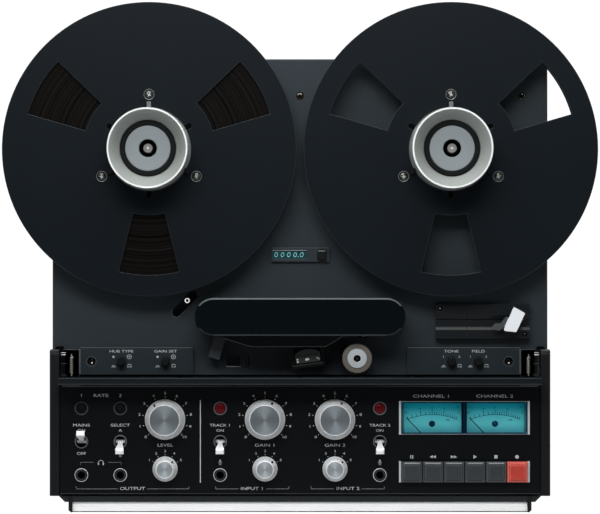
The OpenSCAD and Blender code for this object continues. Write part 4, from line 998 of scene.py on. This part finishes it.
for knob, x, angle in (("volume_knob", -KNOB, -36), ("left_knob", -INPUT, 24),
                       ("right_knob", INPUT, 22)):
    knob_dress(knob, x, KNOB_ROW, 18.2, 17.0, 13.3, 15.9, angle, 1.0, "spun_face")
for knob, x in (("monitor_selector", -KNOB), ("left_selector", -INPUT), ("right_selector", INPUT)):
    knob_dress(knob, x, SELECT_ROW, 11.3, 13.5, 7.3, 9.5, 45, 0.8, "spun_small")


# ---------------------------------------------------------------- painted highlights on the keys' lips and on edges

def key_lips():
    """A painted highlight along the upper lip of each key's face."""
    for i, key in enumerate(("pause", "rewind", "forward", "play", "stop", "record")):
        x0 = METER_LEFT + KEY_PITCH * i
        lip = lined(KEY_FACE, (x0 + 2.6, 44.85, x0 + KEY_PITCH - 2.6, 44.85, 1.0))
        lip.lay(key + "_key_lip_highlight", key + "_key", "key_grey" if key != "record" else "key_red",
                "lip_highlight_grey" if key != "record" else "record_edge_highlight")


def rubbed_edges():
    """Painted highlights along the front edges of the flap, the button blocks, the pockets, slots
    and windows.
    """
    lined(FLAP_FACE, (-216.4, 122.1, 216.4, 122.1, 0.6), (-216.4, 117.0, 216.4, 117.0, 0.5)).lay(
        "flap_edges", "access_flap", "cheek_grey", "dim_edge_highlight")
    lip = lined(BLOCK_FACE, *mirrored(98.0, 148.15, 200.0, 148.15, 0.55))
    for side in (-1, 1):
        lip.shape([(side * 200.9 + dx * side, z) for dx, z in
                   ((-0.9, 124.2), (0.4, 124.2), (0.4, 147.6), (-0.9, 147.2))][::side])
        # A light ring round each block screw's cup: a painted highlight.
        lip.arc(side * BLOCK_SCREW, BUTTON_Z, 4.5, 0, 360, 0.4, 32)
    lip.lay("block_edges", "machine", "deck_grey", "edge_highlight_and_wear")
    lined(PANEL, (-217.0, 17.05, 217.0, 17.05, 0.5)).lay(
        "panel_edge", "machine", "deck_grey", "dim_edge_highlight")
    # Bright lines along the meter window's top and bottom edges: painted highlights in the print
    # finish.
    lined(PANEL, (METER_LEFT, METER_TOP + 0.3, METER_RIGHT, METER_TOP + 0.3, 0.4),
          (METER_LEFT, METER_LOW - 0.3, METER_RIGHT, METER_LOW - 0.3, 0.25)).lay(
        "window_edges", "machine", "bright_metal", "print_grey")
    lined(CHEEK_FACE, *mirrored(217.9, 146.5, 225.6, 146.5, 0.55)).lay(
        "cheek_edges", "machine", "cheek_grey", "edge_highlight_and_wear")
    lip = lined(0.0, *mirrored(202.6, 146.3, 217.3, 146.3, 0.55),
                (-67.6, 130.5, -67.6, 140.8, 0.4), (-109.46, 177.14, -101.0, 185.9, 0.45))
    lip.arc(-112.63, 180.2, 4.4, 136, 316, 0.45, 20)
    lip.lay("pocket_edges", "machine", "deck_grey", "edge_highlight_and_wear")
    lined(0.0, (-67.6, 130.7, -54.0, 130.7, 0.6)).lay(
        "slot_edge", "machine", "deck_grey", "lip_highlight_grey")
    lined(SKIRT_FACE, *[(*begin, *end, 0.28) for begin, end in zip(SKIRT, SKIRT[1:])]).lay(
        "skirt_edges", "machine", "cover_black", "dim_edge_highlight")


key_lips()
rubbed_edges()


# ---------------------------------------------------------------- print on the panel and deck

def panel_print():
    """Generic words, numbers and signs of the control panel, and the thin lines among them."""
    ink, rule = Print(PANEL), Print(PANEL)
    for x in (-KNOB, -INPUT, INPUT):
        for step in range(11):
            a = 222.5 - 26.5 * step
            ink.dot(*polar(x, KNOB_ROW, 20.3, a), 0.42, 12)
            ink.word(str(step), *polar(x, KNOB_ROW, 23.6, a), 3.3)
        for step in range(5):
            a = 150 - 30 * step
            ink.word(str(step + 1), polar(x, 0, 16.4, a)[0], polar(0, SELECT_ROW, 16.0, a)[1], 3.0)
            ink.dot(*polar(x, SELECT_ROW, 12.8, a), 0.38, 12)
    for row in (("LEVEL", -KNOB, 60.7, 3.7, 1.5), ("GAIN 1", -INPUT, 60.7, 3.7, 1.6),
                ("GAIN 2", INPUT, 60.7, 3.7, 1.6), ("1", -OUTER, 105.6, 3.7),
                ("2", -INNER, 105.6, 3.7), ("RATE", -179.85, 105.6, 3.9, 1.5),
                ("MAINS", -OUTER, 78.8, 3.6, 1.5), ("ON", -OUTER, 74.0, 3.4),
                ("OFF", -OUTER, 53.2, 3.6), ("SELECT", -INNER, 78.8, 3.6, 1.5),
                ("A", -INNER, 74.0, 3.4), ("B", -INNER, 51.2, 3.4)):
        ink.word(*row)
    for x, mark in ((-RECORD, "TRACK 1"), (RECORD, "TRACK 2")):
        ink.word(mark, x, 78.7, 3.5)
        ink.word("ON", x, 74.0, 3.3)
        microphone(ink, x, 45.6)
    headphones(ink, -179.85, 45.2)
    for x0, x1, end in ((-198.2, -186.5, -198.2), (-173.2, -161.5, -161.5)):
        rule.bar(x0, 45.4, x1, 45.4, 0.36)
        rule.bar(end, 45.4, end, 43.0, 0.36)
    for x0, x1, mark, gap in ((-202.2, -100.4, "OUTPUT", 13.2), (-76.2, -10.2, "INPUT 1", 12.6),
                              (10.2, 76.2, "INPUT 2", 12.6)):
        middle = (x0 + x1) / 2
        rule.bar(x0, 21.4, middle - gap, 21.4, 0.45)
        rule.bar(middle + gap, 21.4, x1, 21.4, 0.45)
        for x in (x0, x1):
            rule.bar(x, 21.4, x, 23.6, 0.45)
        ink.word(mark, middle, 21.6, 3.9, 1.5)
    for x, mark in zip(METERS, ("CHANNEL 1", "CHANNEL 2")):
        ink.word(mark, x - 1.2, 105.0, 3.9, 1.6)
    key_signs(ink, 50.3)
    ink.lay("panel_print", "machine", "bright_metal", "print_grey")
    rule.lay("panel_lines", "machine", "bright_metal", "print_dim")


def microphone(ink, x, z):
    """A microphone sign."""
    ink.shape(box_outline(x - 0.75, z - 0.6, x + 0.75, z + 2.2, 0.7))
    ink.arc(x, z, 1.5, 180, 360, 0.35, 12)
    ink.bar(x, z - 1.5, x, z - 2.4, 0.4)
    ink.bar(x - 1.1, z - 2.4, x + 1.1, z - 2.4, 0.4)


def headphones(ink, x, z):
    """A headphones sign."""
    ink.arc(x, z - 0.4, 2.3, 0, 180, 0.45, 18)
    for side in (-1, 1):
        ink.shape(box_outline(x + side * 2.2 - 0.55, z - 2.2, x + side * 2.2 + 0.55, z - 0.2, 0.3))


def key_signs(ink, z):
    """Pause, wind back, wind forward, play, stop and record signs above the keys."""
    middle = [METER_LEFT + KEY_PITCH * (i + 0.5) for i in range(6)]
    for shift in (-0.9, 0.9):
        ink.bar(middle[0] + shift, z - 1.5, middle[0] + shift, z + 1.5, 0.85)
    for place, way in ((middle[1], -1), (middle[2], 1)):
        for shift in (-1.4, 1.4):
            foot = place + shift - way * 1.4
            ink.shape([(foot, z + way * 1.5), (foot, z - way * 1.5), (foot + way * 2.8, z)])
    ink.shape([(middle[3] - 1.4, z + 1.8), (middle[3] - 1.4, z - 1.8), (middle[3] + 1.8, z)])
    ink.shape(box_outline(middle[4] - 1.5, z - 1.5, middle[4] + 1.5, z + 1.5))
    ink.dot(middle[5], z, 1.7, 28)


def deck_print():
    """Words and position signs round the four deck buttons."""
    ink = Print(BLOCK_FACE)
    for x in BUTTONS:
        ink.bar(x - 9.2, 130.6, x - 5.2, 130.6, 0.4)
        ink.arc(x - 7.2, 130.7, 1.3, 15, 165, 0.4, 10)
        for x0, z0, x1, z1 in ((5.2, 130.6, 9.6, 130.6), (6.0, 130.6, 6.0, 132.9),
                               (6.0, 132.9, 8.8, 132.9), (8.8, 132.9, 8.8, 130.6)):
            ink.bar(x + x0, z0, x + x1, z1, 0.4)
    for x in BUTTONS[:2]:
        ink.dot(x - 7.2, 139.8, 1.0)
        ink.arc(x + 7.2, 139.8, 1.9, 0, 360, 0.42, 24)
        ink.dot(x + 7.2, 139.8, 0.6)
    for x in BUTTONS[2:]:
        ink.word("1", x - 7.2, 139.8, 2.9)
        ink.word("2", x + 7.2, 139.8, 2.9)
    for x, mark in zip(BUTTONS, ("HUB TYPE", "GAIN SET", "TONE", "FIELD")):
        ink.word(mark, x, 144.8, 3.4, 1.45)
    ink.lay("deck_print", "machine", "bright_metal", "print_grey")


panel_print()
deck_print()


# ---------------------------------------------------------------- meters and counter

def meter_face(name, x):
    """Lit card, scale arc with ticks and numbers, and the blue dot of one meter."""
    bm = bmesh.new()
    slab(bm, box_outline(x - 27.6, 66.2, x + 27.6, 102.3), 19.02, CARD_FACE, 0.1)
    piece(name + "_card", bm, "machine", "meter_case", "lit_scale")
    ink = Print(CARD_FACE, 0.04)
    middle, radius = 27.9, 60.0
    ink.arc(x, middle, radius, 68.2, 111.8, 0.45, 40)
    for step in range(23):
        a = 111.4 - 1.94 * step
        tall = 4.6 if step in (6, 11, 16) else 2.6
        if step % 2 == 0 or step > 11 or tall > 4:
            ink.bar(*polar(x, middle, radius, a), *polar(x, middle, radius + tall, a), 0.5)
    for step, mark in ((0, "20"), (6, "10"), (11, "5"), (16, "0"), (22, "3")):
        ink.word(mark, *polar(x, middle, radius + 6.3, 111.4 - 1.94 * step), 2.3)
    ink.word("dB", x + 13.8, 83.0, 2.4)
    ink.word("-", x - 23.2, 94.6, 3.0)
    ink.word("+", x + 23.2, 94.6, 3.0)
    ink.lay(name + "_scale", "machine", "needle_black", "scale_ink")
    bm = bmesh.new()
    turned(bm, x - 0.2, 79.6, [(0, 19.2), (2.9, 19.2), (2.9, 19.7), (2.5, 20.1), (1.4, 20.5),
                               (0, 20.6)], 36)
    piece(name + "_dot", bm, "machine", "meter_case", "dot_blue")


def meter_frame():
    """Dark blue frame round both cards, just behind the window."""
    bm = bmesh.new()
    left, right = METER_LEFT + 0.15, METER_RIGHT - 0.15
    low, top = METER_LOW + 0.15, METER_TOP - 0.15
    for x0, z0, x1, z1 in ((left, low, right, low + 0.9), (left, top - 1.1, right, top),
                           (left, low + 0.9, left + 1.0, top - 1.1),
                           (right - 1.0, low + 0.9, right, top - 1.1),
                           (METER_MIDDLE - 1.7, low + 0.9, METER_MIDDLE + 1.7, top - 1.1)):
        slab(bm, box_outline(x0, z0, x1, z1), 26.6, 27.8, 0.1)
    piece("meter_frame", bm, "machine", "meter_case", "frame_blue")


def counter_digits():
    """Five lit numerals, and the lit edges of the bezel, its window and the reset button."""
    ink = Print(DISPLAY_FACE, 0.06)
    for x in (-21.7, -16.0, -10.2, -4.4, 1.6):
        ink.arc(x, 232.9, 1.9, 0, 360, 0.55, 24, squeeze=0.72, slant=0.14)
    ink.dot(-1.7, 231.0, 0.4)
    ink.lay("counter_digits", "machine", "meter_case", "digit_glow")
    # The bezel's and the reset button's edge lines are painted highlights.
    lined(COUNTER_FACE, (-25.6, 239.1, 26.2, 239.1, 0.4), (-25.4, 228.85, 6.0, 228.85, 0.4)).lay(
        "counter_edges", "machine", "deck_grey", "edge_highlight_and_wear")
    lined(COUNTER_FACE, (-25.2, 236.8, 5.8, 236.8, 0.5)).lay(
        "counter_brow", "machine", "deck_grey", "lip_highlight_grey")
    lined(COUNTER_FACE + 3, (16.9, 236.3, 22.9, 236.3, 0.6)).lay(
        "reset_lip", "counter_reset", "button_black", "lip_highlight_grey")


meter_face("left_meter", METERS[0])
meter_face("right_meter", METERS[1])
meter_frame()
counter_digits()


# ---------------------------------------------------------------- screws and small fittings

def along_path(bm, points, radius, steps=8, tone=0):
    """A round wire through points of (across, depth, height) in mm, closed at both ends."""
    rows = []
    spots = [Vector(p) for p in points]
    for i, spot in enumerate(spots):
        way = (spots[min(i + 1, len(spots) - 1)] - spots[max(i - 1, 0)]).normalized()
        side = way.cross(Vector((0.31, 0.87, 0.38))).normalized()
        up = way.cross(side)
        rows.append([bm.verts.new(at(*(spot + side * (radius * cos(a))
                                       + up * (radius * sin(a)))))
                     for a in (2 * pi * k / steps for k in range(steps))])
    solid(bm, rows, tone)


def hinge_fittings():
    """Coil spring, rod and pins of the flap's counterbalance in the two hinge pockets."""
    bm = bmesh.new()
    for side in (-1, 1):
        turns, count = 8, 128
        along_path(bm, [(side * 208.6 + 1.25 * cos(2 * pi * turns * i / count),
                         0.6 + 1.25 * sin(2 * pi * turns * i / count),
                         124.6 + 15.0 * i / count) for i in range(count + 1)], 0.42)
        along_path(bm, [(side * 208.6, 0.6, 122.3), (side * 208.6, 0.6, 142.0)], 0.5)
        along_path(bm, [(side * 215.4, 2.0, 121.6), (side * 215.4, 2.0, 140.0)], 0.45, tone=1)
        for z, radius, tone in ((141.6, 0.75, 0), (143.6, 0.45, 0), (133.6, 0.5, 1),
                                (123.2, 0.5, 1)):
            reach = 213.4 if tone == 0 else 212.6
            along_path(bm, [(side * reach, 9.0, z), (side * 217.45, 9.0, z)], radius, 12, tone)
        # A black plate at each cheek's top, where the gap there shows dark: painted shade.
        slab(bm, [(side * x, z) for x, z in ((214.6, 147.0), (222.6, 147.0), (222.0, 149.2),
                                             (216.6, 149.4))][::side], 2.0, 12.0, 0.2, 2)
    piece("hinge_fittings", bm, "machine", "head_metal", "spring_steel", "dark_steel", "black_and_painted_shade")


def tilted(across, up):
    """A place on the head shield, which stands off level, as (x, z)."""
    a = radians(SHIELD_TILT)
    return (SHIELD_X + across * cos(a) - up * sin(a),
            SHIELD_Z + across * sin(a) + up * cos(a))


def shield_plate_and_rivets():
    """Polished plate across the head shield, white rivet domes and grey arcs that are painted
    glints, and the bright lower edge of the tray, a painted highlight.
    """
    bm = bmesh.new()
    slab(bm, [tilted(*spot) for spot in box_outline(-11.2, -5.3, 11.2, 0.6, 0.8)],
         SHIELD_FACE - 0.4, SHIELD_FACE + 0.05, 0.15)
    for across, up, radius in ((-9.6, -1.5, 0.95), (-9.6, -3.7, 0.95), (-1.5, -2.5, 1.2),
                               (-0.1, -2.3, 1.25), (8.4, -2.0, 0.85), (9.7, -3.2, 0.8)):
        x, z = tilted(across, up)
        turned(bm, x, z, [(0, SHIELD_FACE), (radius, SHIELD_FACE), (radius, SHIELD_FACE + 0.4),
                          (radius * 0.7, SHIELD_FACE + 0.8), (0, SHIELD_FACE + 0.95)], 24, 1)
    for radius in (12.6, 14.2):
        ring = [tilted(*polar(0, -11, radius, 66 + 4 * i)) for i in range(13)]
        along_path(bm, [(x, 14.1, z) for x, z in ring], 0.35, tone=2)
    piece("shield_glint_rivets", bm, "machine", "head_metal", "shield_plate", "toggle_white",
          "toggle_ring")
    lined(TRAY_FACE, (-7.0, 131.5, 20.8, 135.2, 0.5)).lay(
        "tray_edge", "machine", "head_metal", "edge_highlight_and_wear")


def jack_bushings():
    """Dark inner washer, painted shade, and the dim bushing edge, a painted reflection, of the four
    front sockets.
    """
    bm = bmesh.new()
    for x in CONTROLS:
        turned(bm, x, JACK_ROW, [(4.95, 31.8), (5.5, 31.8), (5.5, 31.97), (4.95, 31.97)], 48,
               closed=True)
        turned(bm, x, JACK_ROW, [(4.0, 31.55), (4.35, 31.55), (4.35, 31.7), (4.0, 31.7)], 48, 1,
               closed=True)
    piece("jack_bushings", bm, "machine", "socket_black", "black_and_painted_shade", "speed_ring")


def roller_pin():
    """The pin that the pinch roller turns on."""
    bm = bmesh.new()
    turned(bm, *ROLLER, [(0, 23.2), (1.5, 23.2), (1.5, 24.2), (1.0, 24.7), (0, 24.8)], 24)
    piece("roller_pin", bm, "pinch_arm", "capstan_steel", "screw_dark")


def machine_screws():
    """Cross-head screws of the deck, the button blocks and the splicing block, with glints."""
    bm = bmesh.new()
    for x in (-202.7, 0, 202.7):
        cross_screw(bm, x, 377.7, -1.55, 3.3, 1.1, 0.4 + x)
    for x in (-BLOCK_SCREW, BLOCK_SCREW):
        cross_screw(bm, x, BUTTON_Z, 1.95, 3.2, 1.2, 0.7 + x)
    for x, z in ((128.1, 183.7), (204.8, 160.4)):
        cross_screw(bm, x, z, 3.95, 1.9, 0.8, x)
    # Small near-white domes on the screws: painted glints.
    for x in (-BLOCK_SCREW, BLOCK_SCREW):
        turned(bm, x + 0.3, BUTTON_Z - 1.5, [(0, 2.4), (0.75, 2.4), (0.75, 3.1), (0, 3.3)], 16, 2)
    for x, z in ((127.6, 183.9), (204.9, 160.9)):
        turned(bm, x, z, [(0, 4.3), (0.55, 4.3), (0.55, 4.7), (0, 4.85)], 16, 2)
    piece("deck_screws", bm, "machine", "bright_metal", "screw_dark", "black_and_painted_shade", "edge_and_glint_highlight")


def rear_fittings():
    """Pins, insulators and slots of the sockets in the rear bay."""
    bm = bmesh.new()
    for x in LINE_SOCKETS:
        for z, tone in ((40, 1), (64, 0)):
            turned(bm, x, z, [(1.75, -141.9), (3.4, -141.9), (3.4, -142.2), (3.0, -142.45),
                              (1.75, -142.45)], 32, tone, closed=True)
    for x, z in ((-175, 53), (-182, 47), (-168, 47)):
        turned(bm, x, z, [(0, -116.9), (1.6, -116.9), (1.6, -126.5), (0.9, -128), (0, -128.2)],
               20, 2)
    for i in range(6):
        turned(bm, *polar(-48, 64, 4.3, 60 * i + 30),
               [(0, -133.4), (0.7, -133.4), (0.7, -136.0), (0.3, -136.5), (0, -136.5)], 14, 3)
    turned(bm, -48, 40, [(4.5, -140.9), (5.7, -140.9), (5.5, -141.5), (4.7, -141.5)], 36, 4,
           closed=True)
    # Black in the fuse cap's slot: painted shade.
    slab(bm, box_outline(-52.2, 39.3, -43.8, 40.7, 0.5), -140.9, -141.3, tone=5)
    piece("rear_fittings", bm, "machine", "socket_black", "socket_white", "socket_red",
          "bright_metal", "socket_gold", "black_plastic", "black_and_painted_shade")


def rear_print():
    """Plain words over the rear sockets, facing backward on the floor of the bay."""
    ink = Print(0.0)
    for x, z, mark in ((-106, 74.6, "OUTPUT"), (-106, 52, "INPUT"), (-48, 75.6, "REMOTE"),
                       (-48, 51.6, "FUSE"), (-175, 66, "MAINS")):
        ink.word(mark, -x, z, 3.6)
    for x, mark in zip(LINE_SOCKETS, "123"):
        for z in (32, 56):
            ink.word(mark, -x - 8.5, z, 3.2)
    for point in ink.bm.verts:
        point.co.x *= -1
        point.co.y = at(0, BAY_FLOOR, 0).y + at(0, 0, 0).y - point.co.y
    ink.lay("rear_print", "machine", "bright_metal", "print_grey")


def side_screws():
    """Two rows of screws that hold the cabinet's wrap to the frame, on both sides."""
    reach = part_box("cabinet")[1][0]
    bm = bmesh.new()
    for side in (-1, 1):
        fresh = bmesh.new()
        for along in (24, 118):
            for z in (44, 210, 376):
                turned(fresh, along, z, [(3.2, -0.1), (5.2, -0.1), (5.2, 0.2), (4.6, 0.5),
                                         (3.2, 0.4)], 36, closed=True)
                cross_screw(fresh, along, z, -0.05, 3.4, 1.2, z)
        for point in fresh.verts:
            out = at(0, 0, 0).y - point.co.y
            point.co.y = at(0, 0, 0).y + point.co.x
            point.co.x = side * (reach + out)
        made = bpy.data.meshes.new("side")
        fresh.to_mesh(made)
        fresh.free()
        bm.from_mesh(made)
        bpy.data.meshes.remove(made)
    piece("side_screws", bm, "machine", "bright_metal", "screw_dark", "black_and_painted_shade")


machine_screws()
rear_fittings()
rear_print()
side_screws()
hinge_fittings()
shield_plate_and_rivets()
jack_bushings()
roller_pin()
